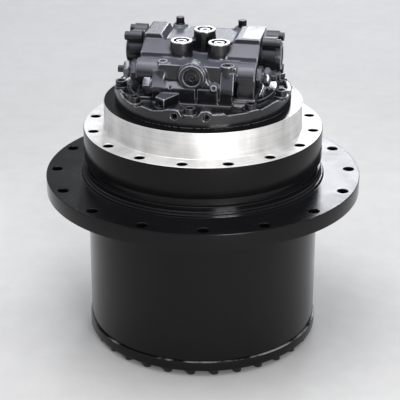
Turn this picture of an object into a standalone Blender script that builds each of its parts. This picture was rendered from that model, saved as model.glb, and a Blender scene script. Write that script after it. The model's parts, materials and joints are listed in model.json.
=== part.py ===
"""Excavator final drive: a two-stage planetary hub turned by a swash-plate travel motor.

The drive stands on its end cover with the motor on top. Sizes are in millimetres and are
turned into metres when a mesh is made. Z is the drive's axis, the floor is at zero, and the
motor's front, with the plug that faces the machine's track frame opening, looks along -Y.
"""

import math

import bmesh
import bpy
from mathutils import Matrix, Vector

MILLIMETRE = 0.001

# Clearances
SEAT_GAP = 0.3
BACKLASH = 0.5
RUNNING_GAP = 2.5

# Facets of round shapes
LARGE_FACETS = 32
INNER_FACETS = 16
MEDIUM_FACETS = 16
SMALL_FACETS = 12
BOLT_FACETS = 8
HOLE_FACETS = 6

# Hub: drum, sprocket flange and neck
HUB_ANGLE = 10.3
DRUM_WALL = 33.8
DRUM_LENGTH = 289.7
SPROCKET_FLANGE_WIDTH = 75.0
SPROCKET_FLANGE_THICKNESS = 33.1
FLANGE_CHAMFER = 2.5
NECK_STEP = 7.0
NECK_HEIGHT = 5.0
COLLAR_STEP = 7.0
COLLAR_HEIGHT = 15.0
LIP_WALL = 7.5
LIP_HEIGHT = 14.0
SPROCKET_HOLE_COUNT = 16
SPROCKET_HOLE_RADIUS = 11.0
SPROCKET_HOLE_EDGE = 21.3

# End cover
COVER_OVERHANG = 3.2
COVER_HEIGHT = 35.0
COVER_FLANGE_THICKNESS = 21.0
COVER_FOOT_RADIUS = 95.0
COVER_DISH_BOTTOM = 8.0
COVER_DISH_FLOOR = 23.0
COVER_REGISTER_HEIGHT = 5.0
COVER_REGISTER_WIDTH = 8.0
COVER_BOLT_COUNT = 30
COVER_BOLT_EDGE = 15.3
COVER_BOLT_HEAD_RADIUS = 9.0
COVER_BOLT_HEAD_HEIGHT = 12.0
COVER_PLUG_CIRCLE = 150.0
COVER_PLUG_ANGLE = 30.0
COVER_PLUG_HEAD_RADIUS = 14.0
COVER_PLUG_STEM_RADIUS = 9.0
COVER_PLUG_HEIGHT = 5.0
THRUST_BOSS_RADIUS = 34.0
THRUST_PAD_RADIUS = 24.0
THRUST_PAD_THICKNESS = 6.0

# Gear teeth, the same in both planetary stages, which share one ring gear
MODULE = 6.5
SUN_TEETH = 12
PLANET_TEETH = 21
PLANET_COUNT = 3
PRESSURE_ANGLE = math.radians(20.0)
ADDENDUM = 0.85
DEDENDUM = 1.2
STAGE_CLEARANCE = 3.0
RING_GEAR_WALL = 22.0

# First stage, next to the end cover
FIRST_FACE_WIDTH = 46.0
FIRST_PIN_RADIUS = 22.0
FIRST_CARRIER_RADIUS = 138.0
FIRST_CARRIER_THICKNESS = 16.0
FIRST_PLANET_ANGLE = 90.0

# Second stage, whose carrier is fixed to the spindle
SECOND_FACE_WIDTH = 68.0
SECOND_PIN_RADIUS = 26.0
SECOND_CARRIER_RADIUS = 160.0
SECOND_CARRIER_THICKNESS = 22.0
SECOND_PLANET_ANGLE = 30.0

# Main bearings between spindle and hub
BEARING_BORE_RADIUS = 148.3
BEARING_INNER_WALL = 20.7
BEARING_OUTER_WALL = 21.0
BEARING_WIDTH = 36.0
BEARING_TAPER = math.radians(12.0)
ROLLER_RADIUS = 10.0
ROLLER_LENGTH = 24.0
ROLLER_COUNT = 12
CAGE_WALL = 3.0
CAGE_WIDTH = 12.0
BEARING_RIB_STEP = 8.0
BEARING_RIB_HEIGHT = 28.0
NUT_FACE_WIDTH = 9.7
NUT_THICKNESS = 8.0
NUT_THREAD_STEP = 16.0

# Floating seal between hub and case
SEAL_RING_BORE_GAP = 7.0
SEAL_RING_WALL = 12.5
SEAL_RING_HEIGHT = 17.0
SEAL_RUBBER_SPACE = 12.5
O_RING_FACETS = 4

# Case: frame flange, pilot, skirt and spindle
CASE_FLANGE_RADIUS = 245.3
CASE_FLANGE_THICKNESS = 64.0
CASE_FLANGE_CHAMFER = 1.5
CASE_GAP = 4.0
PILOT_RADIUS = 202.6
PILOT_HEIGHT = 53.7
SKIRT_WALL = 8.0
SKIRT_LENGTH = 29.0
LABYRINTH_GAP = 2.5
SPINDLE_NECK_STEP = 20.0
SPINDLE_SHOULDER_STEP = 17.7
NOSE_RADIUS = 76.0
CASE_BOLT_COUNT = 16
CASE_BOLT_CIRCLE = 227.0
CASE_BOLT_HOLE_RADIUS = 10.2
CASE_BOLT_HOLE_DEPTH = 42.0
SWASH_CAVITY_GAP = 17.0
CAVITY_FLOOR_WALL = 12.0
BRAKE_CAVITY_DEPTH = 129.8

# Motor shaft, bearings and seal
SHAFT_RADIUS = 22.0
SHAFT_BEARING_RADIUS = 42.0
SHAFT_BEARING_WIDTH = 22.0
SHAFT_BEARING_HEIGHT = 42.7
SHAFT_SEAL_WIDTH = 7.0
SHAFT_HOLE_RADIUS = 32.0
SUN_SHAFT_RADIUS = 18.0
SUN_SHAFT_CONE = 4.0
SHAFT_JOINT_HEIGHT = 14.7
COUPLING_WALL = 7.0
COUPLING_LENGTH = 20.0

# Swash plate and speed change piston
SWASH_AXIS_HEIGHT = 28.0
SWASH_ANGLE = 15.0
SWASH_TRAVEL = 7.0
SWASH_EDGE = 26.0
SWASH_THICKNESS = 24.0
SWASH_BORE_RADIUS = 38.0
PIVOT_BALL_RADIUS = 9.0
PIVOT_BALL_X = 60.0
SPEED_PISTON_Y = 62.0
SPEED_PISTON_RADIUS = 12.0
SPEED_PISTON_DEPTH = 21.0

# Cylinder block and pistons
BLOCK_EDGE = 33.0
BLOCK_BOTTOM_HEIGHT = 82.0
BLOCK_BORE_CIRCLE = 62.0
PISTON_COUNT = 9
PISTON_RADIUS = 12.0
PISTON_REACH = 68.0
SHOE_RADIUS = 14.5
SHOE_THICKNESS = 5.0
RETAINER_EDGE = 20.0
RETAINER_THICKNESS = 4.0
VALVE_PLATE_EDGE = 22.0
VALVE_PLATE_THICKNESS = 10.0

# Parking brake
BRAKE_PLATE_THICKNESS = 4.0
BRAKE_PLATE_GAP = 0.5
BRAKE_WIDTH = 45.0
BRAKE_FRICTION_GAP = 14.0
BRAKE_STEEL_GAP = 7.0
BRAKE_FRICTION_COUNT = 2
BRAKE_PISTON_GAP = 5.0
BRAKE_PISTON_HEIGHT = 80.0
BRAKE_SPRING_WALL = 5.0

# Rear cover and valve block casting
REAR_COVER_RADIUS = 180.0
REAR_COVER_THICKNESS = 27.0
REAR_RIM_WIDTH = 30.0
REAR_CROWN_HEIGHT = 6.0
REAR_BOLT_ANGLES = (-90.0, -46.0, -134.0, -10.0, -170.0, 28.0, 152.0, 66.0, 114.0)
REAR_BOLT_EDGE = 14.0
REAR_BOLT_HEAD_RADIUS = 11.5
REAR_BOLT_HEAD_HEIGHT = 11.0
REAR_BEARING_POCKET_RISE = 4.9

BLOCK_HALF_WIDTH = 75.0
BLOCK_FRONT = -86.0
BLOCK_BACK = 108.0
BLOCK_HEIGHT = 68.9
BRIDGE_HALF_WIDTH = 70.0
BRIDGE_FRONT = 2.0
BRIDGE_HEIGHT = 25.0
SHOULDER_INNER = 64.0
SHOULDER_OUTER = 118.0
SHOULDER_HEIGHT = 14.0
SHOULDER_PAD_FRONT = -12.0
SHOULDER_PAD_BACK = 72.0
SHOULDER_STEP = 10.0
GALLERY_Y = -70.0
GALLERY_DEPTH = 20.0
GALLERY_RADIUS = 25.0
GALLERY_FOOT_HEIGHT = 10.9
GALLERY_FOOT_LENGTH = 60.0
FRONT_BLOCK_FRONT = -107.0
FRONT_BLOCK_DEPTH = 42.0
FRONT_BLOCK_LEFT = -82.0
FRONT_BLOCK_RIGHT = 77.0
FRONT_BLOCK_SLOPE = 12.0
FRONT_PLATE_FRONT = -95.0
FRONT_PLATE_HEIGHT = 2.0
FRONT_PLATE_DEPTH = 32.0
FRONT_PLATE_LEFT = -72.0
FRONT_PLATE_RIGHT = 82.0
FRONT_PLATE_CORNER = 18.0
SLANT_BOSS_WIDTH = 25.0
SLANT_BOSS_DEPTH = 11.0
FRONT_LUG = ((-71.0, -132.0), (-51.0, -148.0), (-30.0, -108.0), (-40.0, -100.0), (-65.0, -100.0))
FRONT_LUG_HEIGHT = 16.9
RIM_BOSS_ANGLES = (-98.0, -78.0)
RIM_BOSS_RADIUS = 13.0
RIM_BOSS_HOLE_RADIUS = 5.0
RIM_BOSS_HOLE_DEPTH = 12.0
RIM_BOSS_DEPTH = 5.1
RIM_PAD_WIDTH = 14.0
RIM_PAD_HEIGHT = 3.9
FRONT_BOSS_X = -4.0
FRONT_BOSS_DEPTH = 18.0
FRONT_BOSS_RADIUS = 27.0
FRONT_BOSS_FRONT = -106.0
PORT_X = 38.0
PORT_Y = -34.0
PORT_BOSS_RADIUS = 24.0
PORT_HEIGHT = 35.0
PORT_BORE_RADIUS = 15.0
PORT_DEPTH = 26.0
CENTRE_PORT_Y = 18.0
CENTRE_PORT_HEIGHT = 20.0
CENTRE_PORT_RADIUS = 25.0
BACK_PLUG_X = 65.0
BACK_PLUG_Y = 93.0
BACK_BOSS_RADIUS = 18.0
BACK_BOSS_HEIGHT = 6.0
BACK_PLUG_HEIGHT = 14.2
BACK_PLUG_RADIUS = 9.5
BACK_STEM_RADIUS = 6.5

# Counterbalance spool with its springs and end caps
SPOOL_Y = 17.0
SPOOL_DEPTH = 3.0
SPOOL_RADIUS = 13.7
SPOOL_LENGTH = 224.0
SPOOL_STUB_RADIUS = 6.0
SPOOL_STUB_LENGTH = 24.0
SPOOL_STROKE = 7.0
SPRING_RADIUS = 12.0
SPRING_WIRE = 1.6
SPRING_TURNS = 3
CAP_SEAT_X = 122.0
CAP_FLANGE_X = 148.0
CAP_END_X = 157.0
CAP_BODY_RADIUS = 38.0
CAP_LOBE_RADIUS = 12.0
CAP_BOSS_RADIUS = 28.0
CAP_BORE_RADIUS = 18.0
CAP_BORE_END_X = 150.0
CAP_BOLT_Y = 26.0
CAP_BOLT_Z = 33.0
CAP_BOLT_HEAD_RADIUS = 9.0
CAP_BOLT_HEAD_HEIGHT = 10.0

# Relief valves on the gallery axis
RELIEF_BORE_RADIUS = 8.0
RELIEF_BORE_DEPTH = 34.0
RELIEF_HEX_RADIUS = 22.5
RELIEF_HEX_LENGTH = 13.0
RELIEF_GROOVE_RADIUS = 12.0
RELIEF_GROOVE_LENGTH = 2.5
RELIEF_NUT_RADIUS = 19.0
RELIEF_NUT_LENGTH = 12.5
RELIEF_STUB_RADIUS = 7.5
RELIEF_STUB_LENGTH = 12.5

# Radii that follow from the sizes above, from the spindle outwards
PLANET_CENTRE = MODULE * (SUN_TEETH + PLANET_TEETH) / 2.0
RING_TEETH = SUN_TEETH + 2 * PLANET_TEETH
SUN_ROOT = MODULE * SUN_TEETH / 2.0 - DEDENDUM * MODULE
DRUM_BORE_RADIUS = MODULE * RING_TEETH / 2.0 + DEDENDUM * MODULE + RING_GEAR_WALL
DRUM_RADIUS = DRUM_BORE_RADIUS + DRUM_WALL
COVER_DISH_RADIUS = DRUM_BORE_RADIUS - SEAT_GAP
COVER_RADIUS = DRUM_RADIUS + COVER_OVERHANG
COVER_BOLT_CIRCLE = COVER_RADIUS - COVER_BOLT_EDGE
BEARING_PITCH_RADIUS = BEARING_BORE_RADIUS + BEARING_INNER_WALL
BEARING_OUTER_RADIUS = BEARING_PITCH_RADIUS + BEARING_OUTER_WALL
BEARING_RIB_RADIUS = BEARING_OUTER_RADIUS - BEARING_RIB_STEP
NUT_RADIUS = BEARING_BORE_RADIUS + NUT_FACE_WIDTH
SPINDLE_SHOULDER_RADIUS = BEARING_BORE_RADIUS + SPINDLE_SHOULDER_STEP
SPINDLE_NECK_RADIUS = SPINDLE_SHOULDER_RADIUS + SPINDLE_NECK_STEP
SWASH_RADIUS = BLOCK_BORE_CIRCLE + SWASH_EDGE
SWASH_CAVITY_RADIUS = SWASH_RADIUS + SWASH_CAVITY_GAP
BLOCK_RADIUS = BLOCK_BORE_CIRCLE + BLOCK_EDGE
RETAINER_RADIUS = BLOCK_BORE_CIRCLE + RETAINER_EDGE
VALVE_PLATE_RADIUS = BLOCK_BORE_CIRCLE + VALVE_PLATE_EDGE
CAVITY_RADIUS = BLOCK_RADIUS + BRAKE_WIDTH
BRAKE_FRICTION_OUTER = CAVITY_RADIUS - BRAKE_FRICTION_GAP
BRAKE_STEEL_INNER = BLOCK_RADIUS + BRAKE_STEEL_GAP
BRAKE_PISTON_INNER = BLOCK_RADIUS + BRAKE_PISTON_GAP
REAR_CROWN_RADIUS = REAR_COVER_RADIUS - REAR_RIM_WIDTH
REAR_BOLT_CIRCLE = REAR_COVER_RADIUS - REAR_BOLT_EDGE
SEAL_RING_INNER_RADIUS = SPINDLE_NECK_RADIUS + SEAL_RING_BORE_GAP
SEAL_RING_OUTER_RADIUS = SEAL_RING_INNER_RADIUS + SEAL_RING_WALL
SEAL_HOUSING_RADIUS = SEAL_RING_OUTER_RADIUS + SEAL_RUBBER_SPACE
SKIRT_RADIUS = SEAL_HOUSING_RADIUS + SKIRT_WALL
LIP_BORE_RADIUS = SKIRT_RADIUS + LABYRINTH_GAP
LIP_RADIUS = LIP_BORE_RADIUS + LIP_WALL
COLLAR_RADIUS = LIP_RADIUS + COLLAR_STEP
NECK_RADIUS = COLLAR_RADIUS + NECK_STEP
SPROCKET_FLANGE_RADIUS = NECK_RADIUS + SPROCKET_FLANGE_WIDTH
SPROCKET_HOLE_CIRCLE = SPROCKET_FLANGE_RADIUS - SPROCKET_HOLE_EDGE

# Levels that follow from the sizes above
COVER_JOINT = COVER_HEIGHT
DRUM_BOTTOM = COVER_JOINT + SEAT_GAP
FLANGE_BOTTOM = DRUM_BOTTOM + DRUM_LENGTH
FLANGE_TOP = FLANGE_BOTTOM + SPROCKET_FLANGE_THICKNESS
NECK_TOP = FLANGE_TOP + NECK_HEIGHT
COLLAR_TOP = NECK_TOP + COLLAR_HEIGHT
HUB_TOP = COLLAR_TOP + LIP_HEIGHT
CASE_BOTTOM = HUB_TOP + CASE_GAP
CASE_FLANGE_TOP = CASE_BOTTOM + CASE_FLANGE_THICKNESS
CASE_TOP = CASE_FLANGE_TOP + PILOT_HEIGHT
RING_GEAR_BOTTOM = COVER_JOINT + COVER_REGISTER_HEIGHT + SEAT_GAP
FIRST_GEAR_BOTTOM = RING_GEAR_BOTTOM + STAGE_CLEARANCE + 3.0
FIRST_GEAR_TOP = FIRST_GEAR_BOTTOM + FIRST_FACE_WIDTH
FIRST_CARRIER_BOTTOM = FIRST_GEAR_TOP + STAGE_CLEARANCE
FIRST_CARRIER_TOP = FIRST_CARRIER_BOTTOM + FIRST_CARRIER_THICKNESS
SECOND_GEAR_BOTTOM = FIRST_CARRIER_TOP + STAGE_CLEARANCE
SECOND_GEAR_TOP = SECOND_GEAR_BOTTOM + SECOND_FACE_WIDTH
SECOND_CARRIER_BOTTOM = SECOND_GEAR_TOP + STAGE_CLEARANCE
SECOND_CARRIER_TOP = SECOND_CARRIER_BOTTOM + SECOND_CARRIER_THICKNESS
RING_GEAR_TOP = SECOND_CARRIER_TOP - SEAT_GAP
NUT_BOTTOM = SECOND_CARRIER_TOP + SEAT_GAP
NUT_TOP = NUT_BOTTOM + NUT_THICKNESS
LOWER_BEARING_BOTTOM = NUT_TOP + SEAT_GAP
LOWER_BEARING_TOP = LOWER_BEARING_BOTTOM + BEARING_WIDTH
UPPER_BEARING_BOTTOM = LOWER_BEARING_TOP + BEARING_RIB_HEIGHT + 2 * SEAT_GAP
UPPER_BEARING_TOP = UPPER_BEARING_BOTTOM + BEARING_WIDTH
SEAL_FLOOR = COLLAR_TOP - 2.0 * SEAL_RING_HEIGHT + 2.0
SEAL_FACE = SEAL_FLOOR + SEAL_RING_HEIGHT + SEAT_GAP
REAR_COVER_BOTTOM = CASE_TOP + SEAT_GAP
REAR_COVER_TOP = REAR_COVER_BOTTOM + REAR_COVER_THICKNESS
REAR_BEARING_POCKET_TOP = REAR_COVER_TOP + REAR_BEARING_POCKET_RISE
BLOCK_TOP = REAR_COVER_TOP + BLOCK_HEIGHT
BRIDGE_TOP = BLOCK_TOP + BRIDGE_HEIGHT
SHOULDER_TOP = BRIDGE_TOP + SHOULDER_HEIGHT
GALLERY_Z = BLOCK_TOP - GALLERY_DEPTH
GALLERY_FOOT_Z = REAR_COVER_TOP + GALLERY_FOOT_HEIGHT
FRONT_BLOCK_TOP = BLOCK_TOP - FRONT_BLOCK_DEPTH
FRONT_PLATE_TOP = BLOCK_TOP + FRONT_PLATE_HEIGHT
FRONT_PLATE_BOTTOM = FRONT_PLATE_TOP - FRONT_PLATE_DEPTH
SLANT_BOSS_TOP = BLOCK_TOP - SLANT_BOSS_DEPTH
FRONT_LUG_TOP = REAR_COVER_TOP + FRONT_LUG_HEIGHT
RIM_BOSS_Z = REAR_COVER_TOP - RIM_BOSS_DEPTH
RIM_PAD_TOP = REAR_COVER_TOP + RIM_PAD_HEIGHT
FRONT_BOSS_Z = BLOCK_TOP - FRONT_BOSS_DEPTH
PORT_TOP = BLOCK_TOP + PORT_HEIGHT
CENTRE_PORT_TOP = BRIDGE_TOP + CENTRE_PORT_HEIGHT
BACK_BOSS_TOP = BRIDGE_TOP + BACK_BOSS_HEIGHT
BACK_PLUG_TOP = BACK_BOSS_TOP + SEAT_GAP + BACK_PLUG_HEIGHT
SPOOL_Z = BLOCK_TOP - SPOOL_DEPTH
SHAFT_JOINT_Z = SECOND_CARRIER_BOTTOM + SHAFT_JOINT_HEIGHT
SHAFT_BEARING_Z = SECOND_CARRIER_BOTTOM + SHAFT_BEARING_HEIGHT
CAVITY_FLOOR = SHAFT_BEARING_Z + SHAFT_BEARING_WIDTH + CAVITY_FLOOR_WALL
BRAKE_SHOULDER = CASE_TOP - BRAKE_CAVITY_DEPTH
SWASH_AXIS_Z = CAVITY_FLOOR + SWASH_AXIS_HEIGHT
SPEED_PISTON_FOOT = CAVITY_FLOOR - SPEED_PISTON_DEPTH
BLOCK_BOTTOM = SWASH_AXIS_Z + BLOCK_BOTTOM_HEIGHT
PISTON_TOP = BLOCK_BOTTOM + PISTON_REACH
VALVE_PLATE_BOTTOM = CASE_TOP - VALVE_PLATE_THICKNESS
BLOCK_CYLINDER_TOP = VALVE_PLATE_BOTTOM - SEAT_GAP


# Mesh building

def bore(radius, facets):
    """Corner radius of a faceted bore whose flats lie at the given radius."""
    return radius / math.cos(math.pi / facets)


def circle(radius, facets, centre=(0.0, 0.0), turn=0.0):
    """Corners of a regular polygon in the XY plane, counted anticlockwise."""
    return [(centre[0] + radius * math.cos(turn + 2.0 * math.pi * i / facets),
             centre[1] + radius * math.sin(turn + 2.0 * math.pi * i / facets))
            for i in range(facets)]


def finish_faces(mesh):
    """Make every face of a closed mesh point outwards."""
    bmesh.ops.recalc_face_normals(mesh, faces=mesh.faces[:])
    return mesh


def lathe(profile, facets, turn=0.0):
    """Turn a closed outline of (radius, height) points about Z."""
    mesh = bmesh.new()
    rings = []
    for radius, height in profile:
        if radius < 1e-6:
            rings.append([mesh.verts.new((0.0, 0.0, height))])
        else:
            rings.append([mesh.verts.new((x, y, height))
                          for x, y in circle(radius, facets, turn=turn)])
    for lower, upper in zip(rings, rings[1:] + rings[:1]):
        for i in range(facets):
            j = (i + 1) % facets
            corners = [lower[i % len(lower)], lower[j % len(lower)],
                       upper[j % len(upper)], upper[i % len(upper)]]
            unique = list(dict.fromkeys(corners))
            if len(unique) > 2:
                mesh.faces.new(unique)
    return finish_faces(mesh)


def extrude(outlines, bottom, top):
    """Raise a flat outline, with any holes listed after it, from bottom to top."""
    mesh = bmesh.new()
    edges = []
    loops = []
    for outline in outlines:
        verts = [mesh.verts.new((x, y, bottom)) for x, y in outline]
        loops.append(verts)
        edges += [mesh.edges.new((a, b)) for a, b in zip(verts, verts[1:] + verts[:1])]
    filled = bmesh.ops.triangle_fill(mesh, use_beauty=True, edges=edges)
    floor = [item for item in filled["geom"] if isinstance(item, bmesh.types.BMFace)]
    lid = {vert: mesh.verts.new((vert.co.x, vert.co.y, top)) for loop in loops for vert in loop}
    for face in floor:
        mesh.faces.new([lid[vert] for vert in reversed(face.verts)])
    for loop in loops:
        for a, b in zip(loop, loop[1:] + loop[:1]):
            mesh.faces.new((a, b, lid[b], lid[a]))
    return finish_faces(mesh)


def moved(mesh, matrix):
    """Apply a matrix to a mesh and give it back."""
    mesh.transform(matrix)
    if matrix.determinant() < 0.0:
        bmesh.ops.reverse_faces(mesh, faces=mesh.faces[:])
    return mesh


def shifted(mesh, x=0.0, y=0.0, z=0.0):
    """Move a mesh along the axes."""
    return moved(mesh, Matrix.Translation((x, y, z)))


def turned(mesh, degrees, axis="Z"):
    """Turn a mesh about an axis through the origin."""
    return moved(mesh, Matrix.Rotation(math.radians(degrees), 4, axis))


def along_x(mesh, side=1.0):
    """Lay a mesh built along Z onto the X axis, pointing to the given side."""
    return turned(mesh, 90.0 * side, "Y")


def along_front(mesh):
    """Lay a mesh built along Z so that it points to the front, -Y."""
    return turned(mesh, 90.0, "X")


def cylinder(radius, bottom, top, facets, x=0.0, y=0.0, turn=0.0):
    """A plain upright cylinder."""
    profile = [(0.0, bottom), (radius, bottom), (radius, top), (0.0, top)]
    return shifted(lathe(profile, facets, turn), x, y)


def ring(inner, outer, bottom, top, facets):
    """A plain upright ring whose bore is measured across its flats."""
    hole = bore(inner, facets)
    return lathe([(outer, top), (outer, bottom), (hole, bottom), (hole, top)], facets)


def box(x0, x1, y0, y1, z0, z1):
    """A block between two corners."""
    return extrude([[(x0, y0), (x1, y0), (x1, y1), (x0, y1)]], z0, z1)


def joined(meshes):
    """Collect meshes that stay separate solids."""
    result = bmesh.new()
    for mesh in meshes:
        data = bpy.data.meshes.new("part of a group")
        mesh.to_mesh(data)
        mesh.free()
        result.from_mesh(data)
        bpy.data.meshes.remove(data)
    return result


def helper_object(mesh):
    """A short-lived object that a Boolean can read."""
    data = bpy.data.meshes.new("helper")
    mesh.to_mesh(data)
    mesh.free()
    helper = bpy.data.objects.new("helper", data)
    bpy.context.scene.collection.objects.link(helper)
    return helper


def combine(base, tools, operation):
    """Unite a mesh with others, or cut them from it, one after another."""
    target = helper_object(base)
    helpers = [helper_object(tool) for tool in tools]
    for helper in helpers:
        modifier = target.modifiers.new("combine", "BOOLEAN")
        modifier.operation = operation
        modifier.solver = "EXACT"
        modifier.object = helper
    bpy.context.view_layer.update()
    evaluated = target.evaluated_get(bpy.context.evaluated_depsgraph_get())
    result = bmesh.new()
    result.from_mesh(evaluated.to_mesh())
    evaluated.to_mesh_clear()
    for item in [target] + helpers:
        data = item.data
        bpy.data.objects.remove(item)
        bpy.data.meshes.remove(data)
    bmesh.ops.remove_doubles(result, verts=result.verts[:], dist=0.002)
    return result


def fused(base, *tools):
    """Unite solids into one casting."""
    return combine(base, tools, "UNION")


def drilled(base, *tools):
    """Cut solids from a base."""
    return combine(base, tools, "DIFFERENCE")


def round_pattern(count, radius, first=0.0):
    """Places evenly spaced on a circle, as (x, y, degrees)."""
    places = []
    for i in range(count):
        degrees = first + 360.0 * i / count
        angle = math.radians(degrees)
        places.append((radius * math.cos(angle), radius * math.sin(angle), degrees))
    return places


# Gears

def involute(angle):
    """The involute function of a pressure angle."""
    return math.tan(angle) - angle


def tooth_half_angle(teeth, module, radius):
    """Half the angle that an external involute tooth spans at a radius, less its backlash."""
    pitch = module * teeth / 2.0
    base = pitch * math.cos(PRESSURE_ANGLE)
    local = math.acos(min(1.0, base / radius))
    half = math.pi / (2.0 * teeth) + involute(PRESSURE_ANGLE) - involute(local)
    return half - BACKLASH / (2.0 * pitch)


def gear_outline(teeth, module, phase):
    """External teeth, two corners at the root and two at the tip of each."""
    pitch = module * teeth / 2.0
    root, tip = pitch - DEDENDUM * module, pitch + ADDENDUM * module
    wide = tooth_half_angle(teeth, module, root)
    narrow = tooth_half_angle(teeth, module, tip)
    points = []
    for i in range(teeth):
        middle = phase + 2.0 * math.pi * i / teeth
        for radius, angle in ((root, -wide), (tip, -narrow), (tip, narrow), (root, wide)):
            points.append((radius * math.cos(middle + angle), radius * math.sin(middle + angle)))
    return points


def ring_outline(teeth, module):
    """Internal teeth: the spaces between them take an external tooth of the same size."""
    pitch = module * teeth / 2.0
    root, tip = pitch + DEDENDUM * module, pitch - ADDENDUM * module
    space_root = tooth_half_angle(teeth, module, root) + BACKLASH / pitch
    space_tip = tooth_half_angle(teeth, module, tip) + BACKLASH / pitch
    points = []
    for i in range(teeth):
        middle = 2.0 * math.pi * (i + 0.5) / teeth
        for radius, angle in ((tip, -space_tip), (root, -space_root),
                              (root, space_root), (tip, space_tip)):
            points.append((radius * math.cos(middle + angle), radius * math.sin(middle + angle)))
    return points


def planet_phase(degrees):
    """Turn of a planet at the given place whose tooth meets a space of the ring gear."""
    ring_turn = math.radians(HUB_ANGLE)
    place = math.radians(degrees)
    return place + ((ring_turn - place) * RING_TEETH + math.pi) / PLANET_TEETH


def sun_phase(degrees):
    """Turn of a sun gear in mesh with the planet at the given place."""
    place = math.radians(degrees)
    return place - ((planet_phase(degrees) - place - math.pi) * PLANET_TEETH + math.pi) / SUN_TEETH


# Scene building

def clear_scene():
    """Remove what the file opened with."""
    for item in list(bpy.data.objects):
        bpy.data.objects.remove(item)
    for data in list(bpy.data.meshes):
        bpy.data.meshes.remove(data)


def finish(name, colour, roughness, metallic):
    """A material with one colour, roughness and metallic value."""
    material = bpy.data.materials.new(name)
    material.use_nodes = True
    shader = material.node_tree.nodes["Principled BSDF"]
    shader.inputs["Base Color"].default_value = (*colour, 1.0)
    shader.inputs["Roughness"].default_value = roughness
    shader.inputs["Metallic"].default_value = metallic
    return material


FINISHES = {
    "gloss_black": ((0.012, 0.012, 0.015), 0.25, 0.0),
    "satin_black": ((0.02, 0.02, 0.022), 0.45, 0.0),
    "casting_black": ((0.03, 0.031, 0.035), 0.4, 0.0),
    "turned_steel": ((0.6, 0.6, 0.6), 0.3, 1.0),
    "gear_steel": ((0.35, 0.35, 0.36), 0.35, 1.0),
    "bolt_steel": ((0.05, 0.05, 0.055), 0.4, 0.8),
    "bronze": ((0.55, 0.38, 0.18), 0.35, 1.0),
    "seal_rubber": ((0.02, 0.02, 0.02), 0.7, 0.0),
}

BODIES = {}


def add_body(name, parent=None, place=(0.0, 0.0, 0.0)):
    """An empty on a body's joint axis, which carries the body's pieces."""
    empty = bpy.data.objects.new(name + "_axis", None)
    bpy.context.scene.collection.objects.link(empty)
    origin = Vector(place)
    if parent:
        empty.parent = BODIES[parent][0]
        empty.location = (origin - BODIES[parent][1]) * MILLIMETRE
    else:
        empty.location = origin * MILLIMETRE
    BODIES[name] = (empty, origin)


def add_piece(name, mesh, finish_name, body):
    """Make one named object from a mesh in millimetres and hang it on its body."""
    empty, origin = BODIES[body]
    shifted(mesh, *(-origin))
    moved(mesh, Matrix.Scale(MILLIMETRE, 4))
    data = bpy.data.meshes.new(name)
    mesh.to_mesh(data)
    mesh.free()
    data.materials.append(finish(name, *FINISHES[finish_name]))
    data.shade_smooth()
    data.set_sharp_from_angle(angle=math.radians(32.0))
    piece = bpy.data.objects.new(name, data)
    piece.parent = empty
    bpy.context.scene.collection.objects.link(piece)


# Hub

def build_hub_drum():
    """Drum with the sprocket flange, the neck and the bores for gears, bearings and seal."""
    outside = [
        (0.0, HUB_TOP), (LIP_RADIUS, HUB_TOP), (LIP_RADIUS, COLLAR_TOP), (COLLAR_RADIUS, COLLAR_TOP),
        (COLLAR_RADIUS, NECK_TOP + NECK_HEIGHT), (NECK_RADIUS, NECK_TOP), (NECK_RADIUS, FLANGE_TOP),
        (SPROCKET_FLANGE_RADIUS - FLANGE_CHAMFER, FLANGE_TOP),
        (SPROCKET_FLANGE_RADIUS, FLANGE_TOP - FLANGE_CHAMFER), (SPROCKET_FLANGE_RADIUS, FLANGE_BOTTOM),
        (DRUM_RADIUS, FLANGE_BOTTOM), (DRUM_RADIUS, DRUM_BOTTOM), (0.0, DRUM_BOTTOM)]
    bearing_bore = bore(BEARING_OUTER_RADIUS + SEAT_GAP, INNER_FACETS)
    drum_bore = bore(DRUM_BORE_RADIUS, INNER_FACETS)
    seal_bore = bore(SEAL_HOUSING_RADIUS, INNER_FACETS)
    lip_bore = bore(LIP_BORE_RADIUS, INNER_FACETS)
    rib_bottom = LOWER_BEARING_TOP + SEAT_GAP
    rib_top = rib_bottom + BEARING_RIB_HEIGHT
    inside = [
        (0.0, DRUM_BOTTOM - 5.0), (drum_bore, DRUM_BOTTOM - 5.0), (drum_bore, RING_GEAR_TOP + SEAT_GAP),
        (bearing_bore, RING_GEAR_TOP + SEAT_GAP), (bearing_bore, rib_bottom),
        (BEARING_RIB_RADIUS, rib_bottom), (BEARING_RIB_RADIUS, rib_top), (bearing_bore, rib_top),
        (bearing_bore, SEAL_FLOOR), (seal_bore, SEAL_FLOOR), (seal_bore, SEAL_FACE - 1.0),
        (lip_bore, SEAL_FACE - 1.0), (lip_bore, HUB_TOP + 5.0), (0.0, HUB_TOP + 5.0)]
    holes = [cylinder(SPROCKET_HOLE_RADIUS, FLANGE_BOTTOM - 5.0, FLANGE_TOP + 5.0, BOLT_FACETS, x, y)
             for x, y, _ in round_pattern(SPROCKET_HOLE_COUNT, SPROCKET_HOLE_CIRCLE, -90.0)]
    drum = drilled(lathe(outside, LARGE_FACETS), lathe(inside, INNER_FACETS), joined(holes))
    add_piece("hub_drum", turned(drum, HUB_ANGLE), "gloss_black", "hub")


def cover_bolt_places():
    """Places of the end cover's bolts, either side of the front."""
    return round_pattern(COVER_BOLT_COUNT, COVER_BOLT_CIRCLE, -90.0 + 180.0 / COVER_BOLT_COUNT)


def cover_plug_places():
    """Filler and drain plugs in the end cover."""
    return round_pattern(2, COVER_PLUG_CIRCLE, COVER_PLUG_ANGLE)


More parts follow.
